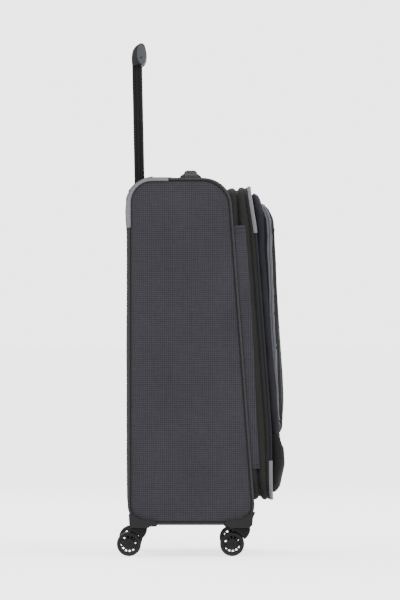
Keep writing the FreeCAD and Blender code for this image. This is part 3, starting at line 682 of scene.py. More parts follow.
def wrap_cloth(name, material, node, covers, crown, columns=26, window=None):
    """Cloth round the case between the side pipings, where covers(outline point) is true."""
    loop, normals, _ = side_loop(6)
    chosen = [index for index in range(len(loop)) if covers(loop[index])]
    breaks = [i for i in range(1, len(chosen)) if chosen[i] != chosen[i - 1] + 1]
    if breaks:
        chosen = chosen[breaks[0]:] + chosen[:breaks[0]]
    lengths = [0.0]
    for before, after in zip(chosen, chosen[1:]):
        lengths.append(lengths[-1] + (loop[after] - loop[before]).length)
    span = lengths[-1]
    xs = [math.sin(math.pi * (share - 0.5)) * (HALF_WIDTH - 0.4)
          for share in [column / columns for column in range(columns + 1)]]
    frames, rows = [], []
    for index, length in zip(chosen, lengths):
        point, normal = loop[index], normals[index]
        end_gap = min(length, span - length)
        seam = -SEAM_DEPTH * bell(end_gap, 2.5, 4)
        row = []
        for x in xs:
            inside = (HALF_WIDTH - abs(x))
            groove = -SEAM_DEPTH * bell(inside, 4.5, 2.5)
            swell = crown * smooth_step(4, 150, inside)
            if point.x > 60:
                swell += back_bulge(point.y) * smooth_step(0, 18, inside)
                swell += CHANNEL_RISE * (bell(abs(x), TUBE_SPAN, 17) - 0.8 * bell(abs(x), TUBE_SPAN + 27, 3)
                                         - 0.8 * bell(abs(x), TUBE_SPAN - 27, 3))
            ripple = 0.5 * wrinkle(x, point.x, point.y, 80, 3.1) * smooth_step(4, 50, inside)
            grow = 0.6 + groove + seam + (swell + ripple) * smooth_step(0, 30, end_gap + 8)
            row.append(Vector((x, point.x + normal.x * grow, point.y + normal.y * grow)))
        rows.append(row)
    vertices = [point for row in rows for point in row]
    faces = skin_faces(len(rows), len(xs), closed_profile=False)
    uvs = [(length, x) for length in lengths for x in xs]
    piece = make_mesh(name, vertices, faces, material, "case", uvs)
    if window:
        cut_window(piece, *window)
    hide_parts(node)
    return piece


for side_name, side_sign in (("left", -1), ("right", 1)):
    cloth = case_side(side_name + "_side_cloth", side_sign, side_name + "_side_panel")

top_cloth = wrap_cloth("top_cloth", "check_fabric", "top_panel",
                       lambda point: point.y > TOP_SEAM - (30 if point.x < 0 else 0.01), 2.5,
                       window=((2 - TRAY_HALF, TRAY_FRONT + 2, 700), (TRAY_HALF - 2, TRAY_BACK - 2, 800)))
wrap_cloth("back_cloth", "plain_fabric", "back_panel",
           lambda point: FOOT_SEAM - 0.01 < point.y < TOP_SEAM + 0.01 and point.x > 60, 1.5, 84)
wrap_cloth("bottom_cloth", "plain_fabric", "bottom_panel",
           lambda point: point.y < FOOT_SEAM + 0.01 or (point.x < 0 and point.y < FOOT_SEAM + 75), 0.0)


# ---------------------------------------------------------------- pipings and trims on the case

def outline_frames(sign, depth, across, step=7, covers=None):
    """Frames along the side outline for a sweep: outward in the outline's plane, and across it."""
    loop, normals, distances = side_loop(step)
    frames, lengths = [], []
    for point, normal, distance in zip(loop, normals, distances):
        if covers is None or covers(point):
            centre = point + normal * depth
            frames.append((Vector((sign * across, centre.x, centre.y)), Vector((0, normal.x, normal.y)),
                           Vector((sign, 0, 0))))
            lengths.append(distance)
    return frames, lengths


cord_parts, groove_shade_parts = [], []
for side_sign in (-1, 1):
    frames, lengths = outline_frames(side_sign, -1.9, 241.1, 5)
    cord_parts.append(sweep(frames, ellipse(2.3, 2.1, 12), closed_path=True, distances=lengths))
    # a dark strip laid in the seam groove inside each piping, in the zip tape's cloth: painted shade for the
    # groove
    frames, lengths = outline_frames(side_sign, -5.6, 240.1, 5)
    groove_shade_parts.append(sweep(frames, rounded_section(-1.9, 1.9, -1.6, 0.5, 0.5), closed_path=True,
                               distances=lengths))
join_pieces("side_piping_cords", "piping", "case", cord_parts, "side_pipings")
# the strips of painted groove shade, joined into one piece
join_pieces("side_seam_shade_strips", "zip_tape", "case", groove_shade_parts)

TRIM_LOW = 671.6
TRIM_FRONT = 64.6
trim_parts = []
TRIM_SECTION = rounded_section(-6.2, 1.3, -3.2, 3.4, 1.6)


def rear_swell(point):
    """The binding stands out behind, just below the top corner, with the cloth it is sewn to."""
    return point + Vector((0, 4.0 * bell(point.z, 706, 30) * smooth_step(141, 149, point.y), 0))


for side_sign in (-1, 1):
    frames, lengths = outline_frames(side_sign, 0.0, 240.8, 4,
                                     lambda point: point.x > TRIM_FRONT and point.y > TRIM_LOW)
    trim_parts.append(sweep(frames, TRIM_SECTION, distances=lengths))
join_pieces("rear_trim_bindings", "grey_trim", "case", trim_parts, "rear_corner_trims", rear_swell)
for number, depth in enumerate((-5.1, 0.1)):
    for side_name, side_sign in (("left", -1), ("right", 1)):
        frames, _ = outline_frames(side_sign, depth, 244.1, 4,
                                   lambda point: point.x > TRIM_FRONT + 2 and point.y > TRIM_LOW + 2)
        stitches(f"rear_trim_stitches_{side_name}_{number}", [frame[0] for frame in frames],
                 [frame[2] for frame in frames], "case", 2.2, 1.6, 0.4, rear_swell)


# ---------------------------------------------------------------- the ring of zip tapes

def ring_frames(step, grow=0.0, covers=None):
    """Frames round the opening: outward in the front plane, and out of the front."""
    loop, normals, distances = opening_loop(step, grow)
    frames, lengths = [], []
    for point, normal, distance in zip(loop, normals, distances):
        if covers is None or covers(point):
            outward = Vector((normal.x, 0, 0)) + UP_FRONT * normal.y
            frames.append((front(point.x, point.y, 0), outward, OUT_FRONT))
            lengths.append(distance)
    return frames, lengths


def smooth_curve(points, steps=4):
    """A smooth open curve through a few points, as tuples."""
    curve = []
    points = [Vector(point) for point in points]
    padded = [points[0] * 2 - points[1]] + points + [points[-1] * 2 - points[-2]]
    for a, b, c, d in zip(padded, padded[1:], padded[2:], padded[3:]):
        for number in range(steps):
            t = number / steps
            curve.append(0.5 * ((2 * b) + (c - a) * t + (2 * a - 5 * b + 4 * c - d) * t * t
                                + (3 * b - a - 3 * c + d) * t ** 3))
    return [tuple(point) for point in curve + [points[-1]]]


def band_section(points, thickness):
    """A closed section: a curve of (outward, along) points and its copy set inward."""
    outer = smooth_curve(points)
    inner = [(a - thickness, b) for a, b in reversed(outer)]
    return outer + inner


def ring_band(name, points, thickness, material, body, *nodes):
    frames, lengths = ring_frames(5)
    band = sweep(frames, band_section(points, thickness), closed_path=True, distances=lengths)
    piece = join_pieces(name, material, body, [band], shape=lid_bow)
    for node in nodes:
        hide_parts(node)
    return piece


def on_hinge(point):
    return point.x < -OPENING_HALF + 0.5 and HINGE_LOW - 2 < point.y < HINGE_HIGH + 2


def zip_teeth(name, body, centre, reach, depth, phase, covers=None):
    """One side of a zip's coil: a tooth every pitch round the ring, from its tape to past the middle."""
    frames, _ = ring_frames(TOOTH_PITCH / 2, 0.0, covers)
    parts = []
    for origin, outward, forward in frames[phase::2]:
        along = outward.cross(forward)
        rings = [(origin + outward * (depth + lift) + forward * (centre + reach * share),
                  along * (0.62 * width), outward * (0.72 * width)) for share, lift, width in TOOTH_RINGS]
        parts.append(sweep(rings, ellipse(1, 1, 6)))
    return join_pieces(name, "coil", body, parts, shape=lid_bow)


TOOTH_PITCH = 2.4
TOOTH_RINGS = ((-1.0, -0.5, 0.6), (-0.75, 0.0, 1.0), (0.1, 0.1, 1.0), (0.3, -0.2, 0.6))
MAIN_ZIP = 12.5
EXPANDER_ZIP = 33.7
CASE_LOBE = ((-7, -9.5), (-2.2, -7), (0.2, -3), (1.0, 1), (0.8, 5), (-0.9, 8.0), (-4.0, 10.4), (-7.2, 11.3))
LID_LOBE = ((-7.2, 13.7), (-4.0, 14.6), (-0.6, 17), (0.9, 21), (1.1, 25), (0.6, 29), (-0.4, 31.4),
            (-2.8, 32.8))
FRONT_LOBE = ((-3.2, 34.6), (-1.2, 35.6), (-0.2, 38), (-0.2, 40.5), (-1.2, 42.6))

ring_band("main_zip_rear_roll", CASE_LOBE, 1.1, "zip_tape", "case", "main_zip_case_tape")
ring_band("main_zip_front_roll", LID_LOBE, 1.1, "zip_tape", "lid_rim", "main_zip_lid_tape",
          "expander_rear_tape")
ring_band("expansion_band", FRONT_LOBE, 1.1, "zip_tape", "lid_front", "expander_front_tape")
zip_teeth("main_zip_rear_teeth", "case", MAIN_ZIP, 1.9, -5.2, 0, lambda point: not on_hinge(point))
zip_teeth("main_zip_front_teeth", "lid_rim", MAIN_ZIP, -1.9, -5.2, 1, lambda point: not on_hinge(point))
zip_teeth("expander_rear_teeth", "lid_rim", EXPANDER_ZIP, 1.9, -2.1, 0)
zip_teeth("expander_front_teeth", "lid_front", EXPANDER_ZIP, -1.9, -2.1, 1)

# two sewn lines along each roll
# a sewn line along each roll and along the expansion band, and a second along the front roll's edge
for roll_name, roll_body, seam_place, seam_height in (("rear_roll", "case", 4.0, 0.95),
                                                      ("front_roll", "lid_rim", 18.2, 0.55),
                                                      ("front_roll_edge", "lid_rim", 29.4, 0.25),
                                                      ("expansion_band", "lid_front", 40.2, -0.1)):
    frames, _ = ring_frames(6)
    stitches(roll_name + "_stitches",
             [origin + outward * seam_height + forward * seam_place for origin, outward, forward in frames],
             [frame[1] for frame in frames], roll_body, 2.4, 1.7, 0.4, shape=lid_bow)


# the pleated cloth inside the expansion zip, which spreads when the front moves out
def gusset_section(start, end, folds, depth, rows):
    points = []
    for row in range(rows + 1):
        share = row / rows
        points.append((-4.4 - depth * math.sin(math.pi * folds * share) ** 2, start + (end - start) * share))
    return points


frames, lengths = ring_frames(8)
vertices, faces, uvs = sweep(frames, gusset_section(27.5, 41.5, 3, 5.0, 30), closed_path=True,
                             closed_profile=False, distances=lengths)
gusset = make_mesh("expansion_gusset", vertices, faces, "gusset_cloth", None, uvs, shape=lid_bow)
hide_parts("gusset_inner_band", "gusset_outer_band")
# the bow brings the gusset's outer edge to 33.5 mm at the lid's foot, so the blend is complete there
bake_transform(gusset)


# ---------------------------------------------------------------- the hinge strip

HINGE_COLUMNS = ((-0.6, 0.2), (1.2, 1.0), (4, 1.7), (8, 1.9), (12.5, 1.6), (17, 1.9), (21, 1.7), (24.6, 0.9))


def hinge_reach(up):
    """The share of its lid half that the hinge cloth keeps: it narrows towards the foot."""
    return 0.38 + 0.62 * smooth_step(HINGE_LOW, 560, up)


def hinge_strip():
    rows = 98
    vertices, uvs = [], []
    for row in range(rows + 1):
        up = HINGE_LOW - 3 + (HINGE_HIGH + 12 - HINGE_LOW + 3) * row / rows
        for out, lift in HINGE_COLUMNS:
            out = min(out, 12.5) + max(out - 12.5, 0) * hinge_reach(up)
            sag = 0.5 * wrinkle(0, up, out * 3, 45, 7.7)
            vertices.append(front(-(OPENING_HALF + lift + 0.4 + 0.5 * sag), up, out))
            uvs.append((up, out))
    faces = skin_faces(rows + 1, len(HINGE_COLUMNS), closed_profile=False)
    piece = make_mesh("hinge_cloth", vertices, faces, "check_fabric", None, uvs)
    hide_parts("hinge_strip_case", "hinge_strip_lid")
    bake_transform(piece)


hinge_strip()
for row_name, row_up in (("top_a", HINGE_HIGH + 5), ("top_b", HINGE_HIGH - 3), ("foot_a", HINGE_LOW + 1),
                         ("foot_b", HINGE_LOW + 5)):
    lid_end = 12.5 + 11.5 * hinge_reach(row_up)
    for half_name, half_body, low, high in (("case", "case", 1, 11), ("lid", "lid_rim", 13.5, lid_end)):
        path = [front(-(OPENING_HALF + 2.5), row_up, low), front(-(OPENING_HALF + 2.5), row_up, high)]
        stitches(f"hinge_stitches_{row_name}_{half_name}", path, [Vector((-1, 0, 0))] * 2, half_body, 1.8,
                 0.8, 0.45)


# ---------------------------------------------------------------- the lid's front

LID_SECTION = ((-1.6, 42.0), (-0.4, 43.0), (-0.6, 44.6), (-2.4, 46.2), (-5.5, 46.6), (-10, 46.4))


def face_height(up):
    """How far the pockets' face stands out at a height up the front."""
    return 66 + (up - 270) * FACE_SLOPE


ring_band("lid_edge_cloth", LID_SECTION, 0.9, "plain_fabric", "lid_front")
frames, lengths = ring_frames(5)
cord = sweep(frames, ellipse(1.9, 1.9, 12, (-0.4, 45.2)), closed_path=True, distances=lengths)
join_pieces("lid_piping_cord", "slate_fabric", "lid_front", [cord], "lid_piping", lid_bow)

LID_INSETS = (0, 3, 8, 16)


def lid_face_place(point, depth):
    crease = 0.4 * wrinkle(point.x, point.y, 0, 70, 2.2)
    return front(point.x, point.y, 46.4 + 0.9 * smooth_step(2, 60, depth) + crease)


lid_face = filled_cloth("lid_face_cloth", opening_loop(9, -7), LID_INSETS, 22, lid_face_place, "plain_fabric",
                        "lid_front", lid_bow)
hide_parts("lid_panel")

TRIM_ACROSS = 52
TRIM_TOP_DOWN = 98
TRIM_FOOT_UP = 80
CORNER_TRIM_SECTION = rounded_section(-4.4, 1.9, 40.5, 48.0, 1.8)


def lid_trims():
    """Pale bindings over the lid's edge at its four corners, with a sewn line along each."""
    parts, number = [], 0
    for side in (-1, 1):
        for end, reach in ((1, TRIM_TOP_DOWN), (-1, TRIM_FOOT_UP)):
            height = OPENING_HIGH if end > 0 else OPENING_LOW
            frames, lengths = ring_frames(
                3, 0.0, lambda point: point.x * side > OPENING_HALF - TRIM_ACROSS - 8
                and (height - point.y) * end < reach)
            turn = next((i for i in range(1, len(lengths)) if lengths[i] - lengths[i - 1] > 20), 0)
            frames = frames[turn:] + frames[:turn]
            parts.append(sweep(frames, CORNER_TRIM_SECTION))
            line = [origin + outward * 2.0 + forward * 42.6 for origin, outward, forward in frames[1:-1]]
            stitches(f"lid_trim_stitches_{number}", line, [frame[1] for frame in frames[1:-1]], "lid_front",
                     2.2, 1.6, 0.4, shape=lid_bow)
            number += 1
    return join_pieces("lid_trim_bindings", "grey_trim", "lid_front", parts, "lid_corner_trims", lid_bow)


lid_trims()


# ---------------------------------------------------------------- pockets and other stuffed shapes

def pillow(loop, normals, rounding, spacing, top, base):
    """A closed form on an outline: top(point, depth) and base(point, depth) give its two faces in 3D."""
    insets = [rounding * (1 - math.cos(math.radians(angle))) for angle in (0, 18, 36, 54, 72, 90)]
    flat, triangles, depths = filled_panel(loop, normals, insets, spacing)
    count = len(flat)
    vertices = [top(point, depth) for point, depth in zip(flat, depths)]
    vertices += [base(point, depth) for point, depth in zip(flat, depths)]
    faces = list(triangles) + [tuple(count + index for index in reversed(face)) for face in triangles]
    edges = {}
    for face in triangles:
        for first, second in zip(face, face[1:] + face[:1]):
            edges[(first, second)] = True
    for first, second in edges:
        if (second, first) not in edges:
            faces.append((second, first, count + first, count + second))
    return vertices, faces


def rounded_rise(depth, rounding):
    """The height of a quarter-round edge at a distance in from it."""
    inside = max(rounding - depth, 0)
    return math.sqrt(max(rounding * rounding - inside * inside, 0)) - rounding


CLOTH_PRESSURE = 3.0
CLOTH_STIFFNESS = 22
CLOTH_FRAMES = 16


def stuff(piece, voxel, cap, keep=None):
    """Remesh a closed form and let its cloth fill out, then bake the result into the mesh.

    No point moves more than cap, in millimetres, and keep(start, end) may limit it further.
    """
    with_modifier(piece, "REMESH", mode="VOXEL", voxel_size=voxel * MM, use_smooth_shade=True)
    apply_modifiers(piece)
    starts = [vertex.co.copy() for vertex in piece.data.vertices]
    cloth = piece.modifiers.new("cloth", "CLOTH")
    cloth.settings.quality = 6
    cloth.settings.use_pressure = True
    cloth.settings.uniform_pressure_force = CLOTH_PRESSURE
    cloth.settings.tension_stiffness = cloth.settings.compression_stiffness = CLOTH_STIFFNESS
    cloth.settings.effector_weights.gravity = 0
    scene = bpy.context.scene
    for number in range(CLOTH_FRAMES):
        scene.frame_set(number + 1)
    depsgraph = bpy.context.evaluated_depsgraph_get()
    result = [vertex.co.copy() for vertex in piece.evaluated_get(depsgraph).data.vertices]
    piece.modifiers.clear()
    scene.frame_set(1)
    for vertex, start, end in zip(piece.data.vertices, starts, result):
        move = end - start
        if move.length > cap * MM:
            move *= cap * MM / move.length
        target = start + move
        vertex.co = keep(start, target) if keep else target
    with_modifier(piece, "SMOOTH", factor=0.5, iterations=3)
    apply_modifiers(piece)
    return piece


def out_of_front(point):
    """How far a point in metres lies out of the front plane, in millimetres."""
    return (Vector(point) / MM - front(0, 0, 0)).dot(OUT_FRONT)


def between(low, high):
    """A limit for stuff(): points stay between two distances out of the front."""
    def keep(_, target):
        out = out_of_front(target)
        if out < low:
            return target + OUT_FRONT * ((low - out) * MM)
        if out > high:
            return target - OUT_FRONT * ((out - high) * MM)
        return target
    return keep


def pocket_loop(half, low, high, radius_low, radius_high, step=8):
    corners = ((-half, low), (-half, high), (half, high), (half, low))
    return rounded_loop(corners, (radius_low, radius_high, radius_high, radius_low), step)


INNER_HALF = 219
INNER_LOW = 124
INNER_HIGH = 750
LID_BASE = 45.4
POCKET_CAP = 5.0
OUTER_HALF = 213
OUTER_LOW = 240
OUTER_HIGH = 726


def inner_face(point, _):
    """The inner pocket's face: it leans in at its top and foot like a filled bag."""
    return 61.5 - 8 * smooth_step(690, 746, point.y)


def bag(name, half, low, high, radii, rounding, face, base, material, limits, voxel=6.0):
    """A pocket sewn to the lid: a rounded, filled shape from its base on the bowed lid to its face."""
    def foot(point, _):
        return lid_bow(front(point.x, point.y, base))

    def top(point, depth):
        lowest = (foot(point, depth) - front(0, 0, 0)).dot(OUT_FRONT) + 1.5
        return front(point.x, point.y, max(face(point, depth) + rounded_rise(depth, rounding), lowest))

    loop, normals, _ = pocket_loop(half, low, high, *radii)
    vertices, faces = pillow(loop, normals, rounding, 13, top, foot)
    piece = make_mesh(name, vertices, faces, material, "lid_front")
    stuff(piece, voxel, POCKET_CAP, between(*limits))
    return piece


def outer_face(point, depth):
    """The outer pocket's face, fullest below its top edge and inside its zip."""
    swell = 4.0 * bell(point.y, 655, 60) + 3.0 * bell(point.y, 430, 160) + 3.4 * bell(point.y, 330, 90)
    top_fall = 13 * smooth_step(684, 728, point.y)
    return face_height(point.y) + swell * smooth_step(20, 75, depth) - top_fall


def lower_face(point, _):
    """The lower pocket's face: full below its zip and drawn in towards the lid's foot."""
    recess = 8.5 * smooth_step(219, 227, point.y) * (1 - smooth_step(204, 212, abs(point.x)))
    return 67.5 - 17 * (1 - smooth_step(126, 206, point.y)) - recess


bag("inner_pocket", INNER_HALF, 236, INNER_HIGH, (20, 40), 14, inner_face, LID_BASE, "slate_fabric", (36, 64))
outer_pocket = bag("outer_pocket", OUTER_HALF, OUTER_LOW, OUTER_HIGH, (18, 36), 13, outer_face, 57,
                   "plain_fabric", (55, 83))
lower_bag = bag("lower_pocket_bag", INNER_HALF, INNER_LOW, 252, (38, 14), 16, lower_face, LID_BASE,
                "plain_fabric", (36, 69.5), 5.0)
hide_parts("front_pocket")
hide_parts("lower_pocket")


# ---------------------------------------------------------------- strips, zips and stitches sewn to a surface

def snap(target, point):
    """The nearest place on a piece's surface, in millimetres, and the normal there."""
    _, place, normal, _ = target.closest_point_on_mesh(point * MM)
    return Vector(place) / MM, Vector(normal)


def surface_path(target, points, step):
    """A path laid on a surface: (place, normal, tangent, lateral) at even steps."""
    snapped = [snap(target, point) for point, _, _ in resample(points, step)]
    path = []
    for index, (place, normal) in enumerate(snapped):
        before, after = snapped[max(index - 1, 0)][0], snapped[min(index + 1, len(snapped) - 1)][0]
        tangent = (after - before).normalized()
        path.append((place, normal, tangent, tangent.cross(normal).normalized()))
    return path


def surface_strip(name, target, points, width, thick, material, body, lift=0.1, step=5, offset=0.0, ends=0.0):
    """A strip of tape that follows a surface; ends is the length over which it tapers at each end."""
    path = surface_path(target, points, step)
    shares = (-0.5, -0.44, -0.25, 0, 0.25, 0.44, 0.5)
    vertices, uvs = [], []
    for index, (place, normal, _, lateral) in enumerate(path):
        gap = min(index, len(path) - 1 - index) * step
        narrow = 0.45 + 0.55 * math.sqrt(smooth_step(-0.2 * ends, ends, gap)) if ends else 1.0
        row = []
        for share in shares:
            spot, _ = snap(target, place + lateral * (offset + share * width * narrow))
            row.append(spot + normal * (lift + thick * (1.0 if abs(share) < 0.45 else 0.35)))
        for share in reversed(shares):
            spot, _ = snap(target, place + lateral * (offset + share * width * narrow))
            row.append(spot - normal * 0.5)
        vertices += row
        uvs += [(index * step, share * width) for share in shares + shares[::-1]]
    return make_mesh(name, vertices, skin_faces(len(path), 2 * len(shares)), material, body, uvs)


COIL_RINGS = ((1.0, -0.4, 0.6), (0.75, 0, 1.0), (-0.15, 0.1, 1.0), (-0.35, -0.2, 0.6))


def surface_teeth(name, target, points, body, lift=0.8, pitch=1.7, reach=1.5):
    """The two interlocked rows of a coil zip along a path on a surface."""
    parts = []
    for index, (place, normal, tangent, lateral) in enumerate(surface_path(target, points, pitch / 2)):
        side = 1 if index % 2 else -1
        rings = [(place + normal * (lift + rise) + lateral * (side * reach * share), tangent * (0.5 * size),
                  normal * (0.6 * size)) for share, rise, size in COIL_RINGS]
        parts.append(sweep(rings, ellipse(1, 1, 6)))
    return join_pieces(name, "coil", body, parts)


def surface_stitches(name, target, points, body, offset=0.0, **sizes):
    path = surface_path(target, points, 3)
    line = [snap(target, place + lateral * offset)[0] for place, _, _, lateral in path]
    return stitches(name, line, [step[1] for step in path], body, **sizes)


# ---------------------------------------------------------------- the front pocket's stripe and zip

STRIPE_FOOT = 262
ZIP_INSET = 17


def stripe_middle(up):
    """How far out of the front the stripe's middle lies."""
    return face_height(up) - 4 - 2 * (1 - smooth_step(280, 560, up)) - 10.5 * smooth_step(688, 731, up)


def pocket_arch(inset, foot, height):
    """An inverted U on the outer pocket: its outline moved in, above a height."""
    loop, normals, _ = pocket_loop(OUTER_HALF, OUTER_LOW, OUTER_HIGH, 18, 36, 6)
    points = [(point - normal * inset) for point, normal in zip(loop, normals)]
    start = min(range(len(points)), key=lambda i: (points[i] - Vector((-OUTER_HALF + inset, foot))).length)
    turned = points[start:] + points[:start]
    return [front(point.x, point.y, height(point.y)) for point in turned if point.y > foot - 3]


def pocket_zip(name, pocket, path):
    """A pocket's zip: its tape, its coil and a sewn line along each edge of the tape."""
    surface_strip(name + "_zip_tape", pocket, path, 15, 0.35, "zip_tape", "lid_front")
    surface_teeth(name + "_zip_teeth", pocket, path, "lid_front")
    for row, offset in (("a", -6.4), ("b", 6.4)):
        surface_stitches(f"{name}_zip_stitches_{row}", pocket, path, "lid_front", offset, length=2.4, gap=1.6,
                         thick=0.5)


stripe_path = pocket_arch(0, STRIPE_FOOT, stripe_middle)
for half_name, half_offset in (("rear", 2.6), ("front", -2.6)):
    surface_strip(f"pocket_stripe_{half_name}", outer_pocket, stripe_path, 4.5, 0.7, "grey_band", "lid_front",
                  offset=half_offset)
surface_strip("pocket_stripe_edge", outer_pocket, stripe_path, 1.6, 1.3, "grey_trim", "lid_front", offset=5.6)
for tip_name, tip_side in (("left", -1), ("right", 1)):
    tip_path = [front(tip_side * x, up, out) for x, up, out in
                ((OUTER_HALF, 272, 61.5), (OUTER_HALF, 256, 61), (OUTER_HALF, 247, 62), (209, 241, 65),
                 (202, 238.5, 69))]
    surface_strip(f"pocket_stripe_tip_{tip_name}", outer_pocket, tip_path, 10.5, 1.5, "button_plastic",
                  "lid_front", step=2, ends=14)

zip_path = pocket_arch(ZIP_INSET, 276, lambda up: outer_face(Vector((0, up)), 0) + 6)
pocket_zip("front_pocket", outer_pocket, zip_path)
pocket_zip("lower_pocket", lower_bag, [front(x, 238, 64) for x in (-196, -60, 60, 196)])

bezel_loop, _, _ = rounded_loop(((-TRAY_HALF, TRAY_FRONT), (-TRAY_HALF, TRAY_BACK), (TRAY_HALF, TRAY_BACK),
                                 (TRAY_HALF, TRAY_FRONT)), (4, 4, 4, 4), 4)
bezel_path = [Vector((point.x, point.y, CASE_TOP + 6 - max(point.y - 90, 0) ** 2 / 90))
              for point in bezel_loop + bezel_loop[:1]]
surface_strip("trolley_tray_bezel", top_cloth, bezel_path, 6.5, 1.4, "tray_plastic", "case", step=3)


# ---------------------------------------------------------------- padded handles

HANDLE_HALF = 122
HANDLE_WIDTH = 15.2
HANDLE_CENTRE = 19.5
SIDE_HANDLE_HEIGHT = 430
ANCHOR_CENTRE = 113
HANDLE_RISE = 8.0
END_FLARE = 8.2


def handle_pad(name, node, place, mount):
    """A padded carry handle: an arched, quilted band that narrows to flat ends under its anchors.

    place(along, across, out) turns the handle's own coordinates into the shared frame.
    """
    stations = 44
    vertices, uvs = [], []
    section = rounded_section(-1, 1, -1, 1, 0.55, 4)
    for index in range(stations + 1):
        along = -HANDLE_HALF + 2 * HANDLE_HALF * index / stations
        inside = 1 - abs(along) / HANDLE_HALF
        grip = smooth_step(0.22, 0.42, inside)
        rise = smooth_step(0.05, 0.36, inside)
        width = HANDLE_WIDTH + END_FLARE * (1 - rise)
        thick = 2.7 + 2.0 * grip - 0.35 * grip * math.cos(along / HANDLE_HALF * math.pi * 9) ** 8
        centre = mount + 2.0 + (HANDLE_RISE - 1.2) * rise + 1.2 * grip
        for a, b in section:
            vertices.append(place(along, width * a, centre + thick * b * (1 - 0.25 * abs(a) ** 3)))
            uvs.append((along, a * width))
    faces = skin_faces(stations + 1, len(section))
    piece = make_mesh(name, vertices, faces, "plain_fabric", "case", uvs)
    stuff(piece, 2.6, 1.6)
    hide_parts(node)
    for side, offset in (("a", 0.78), ("b", -0.78)):
        path = [place(along, HANDLE_WIDTH * offset * 0.96, mount + 30) for along in range(-84, 85, 6)]
        surface_stitches(f"{name}_stitches_{side}", piece, path, "case", length=2.6, gap=1.8, thick=0.6)


def anchor_pad(name, place, centre, mount):
    """A folded webbing anchor over the handle's end, with a box of stitches."""
    half_long, half_wide, lift = 19, 22, 3.4
    corners = ((-half_long, -half_wide), (-half_long, half_wide), (half_long, half_wide),
               (half_long, -half_wide))

    def top(point, depth):
        rise = lift + rounded_rise(depth, 2.0) + 0.9 * smooth_step(2, 12, depth)
        return place(centre + point.x, point.y, mount + rise)

    def base(point, _):
        return place(centre + point.x, point.y, mount - 0.8)

    loop, normals, _ = rounded_loop(corners, (4,) * 4, 3)
    vertices, faces = pillow(loop, normals, 2.0, 5, top, base)
    piece = make_mesh(name, vertices, faces, "webbing", "case", [(v[0], v[1]) for v in vertices])
    box = [(-15, -18), (-15, 18), (15, 18), (15, -18), (-15, -18), (15, 18), (15, -18), (-15, 18)]
    path = [place(centre + a, b, mount + 12) for a, b in box]
    surface_stitches(name + "_stitches", piece, path, "case", length=2.2, gap=1.4, thick=0.55)
    return piece


def on_top(along, across, out):
    return Vector((along, HANDLE_CENTRE + across, CASE_TOP + out))


def on_side(along, across, out):
    return Vector((HALF_WIDTH + out, HANDLE_CENTRE + across, SIDE_HANDLE_HEIGHT + along))


TOP_CLOTH_LIFT = 2.6
SIDE_CLOTH_LIFT = 3.4
HANDLES = (("top", on_top, TOP_CLOTH_LIFT), ("side", on_side, SIDE_CLOTH_LIFT))
for handle_name, handle_place, handle_mount in HANDLES:
    handle_pad(handle_name + "_carry_handle", handle_name + "_handle", handle_place, handle_mount)
for handle_name, handle_place, handle_mount in HANDLES:
    for end_name, end_sign in (("a", -1), ("b", 1)):
        anchor = anchor_pad(f"{handle_name}_anchor_{end_name}", handle_place, end_sign * ANCHOR_CENTRE,
                            handle_mount)
        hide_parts("handle_anchors")


# ---------------------------------------------------------------- turned and extruded parts

MERGE_GAP = 0.01


def revolve(profile, place, segments=48):
    """Turn (radius, along) points about an axis; place(radial a, radial b, along) gives the 3D point."""
    vertices, faces, uvs = [], [], []
    for number in range(segments):
        angle = 2 * math.pi * number / segments
        for radius, along in profile:
            vertices.append(place(radius * math.cos(angle), radius * math.sin(angle), along))
            uvs.append((number * 2.0, along))
    count = len(profile)
    for number in range(segments):
        here, there = number * count, ((number + 1) % segments) * count
        for index in range(count):
            after = (index + 1) % count
            if profile[index][0] > 0.01 or profile[after][0] > 0.01:
                faces.append((here + index, here + after, there + after, there + index))
    return vertices, faces, uvs


def arc_points(centre, radius, first, last, count):
    """Points on an arc between two angles in degrees."""
    return [(centre[0] + radius * math.cos(math.radians(first + (last - first) * i / count)),
             centre[1] + radius * math.sin(math.radians(first + (last - first) * i / count)))
            for i in range(count + 1)]


def extrude(outline, low, high, place):
    """A plate with an outline and two faces; place(a, b, through) gives the 3D point."""
    count = len(outline)
    vertices = [place(a, b, low) for a, b in outline] + [place(a, b, high) for a, b in outline]
    faces = [tuple(range(count)), tuple(range(2 * count - 1, count - 1, -1))]
    faces += [(i, (i + 1) % count, count + (i + 1) % count, count + i) for i in range(count)]
    return vertices, faces, [(0, 0)] * (2 * count)


def clean(piece):
    """Merge the points that a revolve leaves on its axis."""
    work = bmesh.new()
    work.from_mesh(piece.data)
    bmesh.ops.remove_doubles(work, verts=work.verts, dist=MERGE_GAP * MM)
    bmesh.ops.recalc_face_normals(work, faces=work.faces)
    work.to_mesh(piece.data)
    work.free()
    return piece


def rounded(piece, width, segments=2, angle=40):
    """Round a piece's sharp edges with a bevel, and shade it by angle."""
    with_modifier(piece, "BEVEL", width=width * MM, segments=segments, limit_method="ANGLE",
                  angle_limit=math.radians(angle), harden_normals=True)
    return piece


# ---------------------------------------------------------------- casters

WHEEL_RADIUS = 25.0
WHEEL_TRAIL = 16
SPOKES = 12
CASTERS = {"rear": 130, "front": -82}
CASTER_SIDE = 205


def tyre_profile(half):
    """The tyre's section: rounded shoulders and a fine groove where it meets the rim."""
    return ([(16.7, -half + 2.2), (18.6, -half + 1.6), (19.6, -half + 0.3), (20.6, -half + 1.1),
             (21.5, -half + 0.2)]
            + arc_points((22.2, -half + 2.6), 2.6, 270, 330, 4)
            + [(WHEEL_RADIUS, -half + 4.6), (WHEEL_RADIUS, half - 4.6)]
            + arc_points((22.2, half - 2.6), 2.6, 30, 90, 4)
            + [(21.5, half - 0.2), (20.6, half - 1.1), (19.6, half - 0.3), (18.6, half - 1.6),
               (16.7, half - 2.2)])


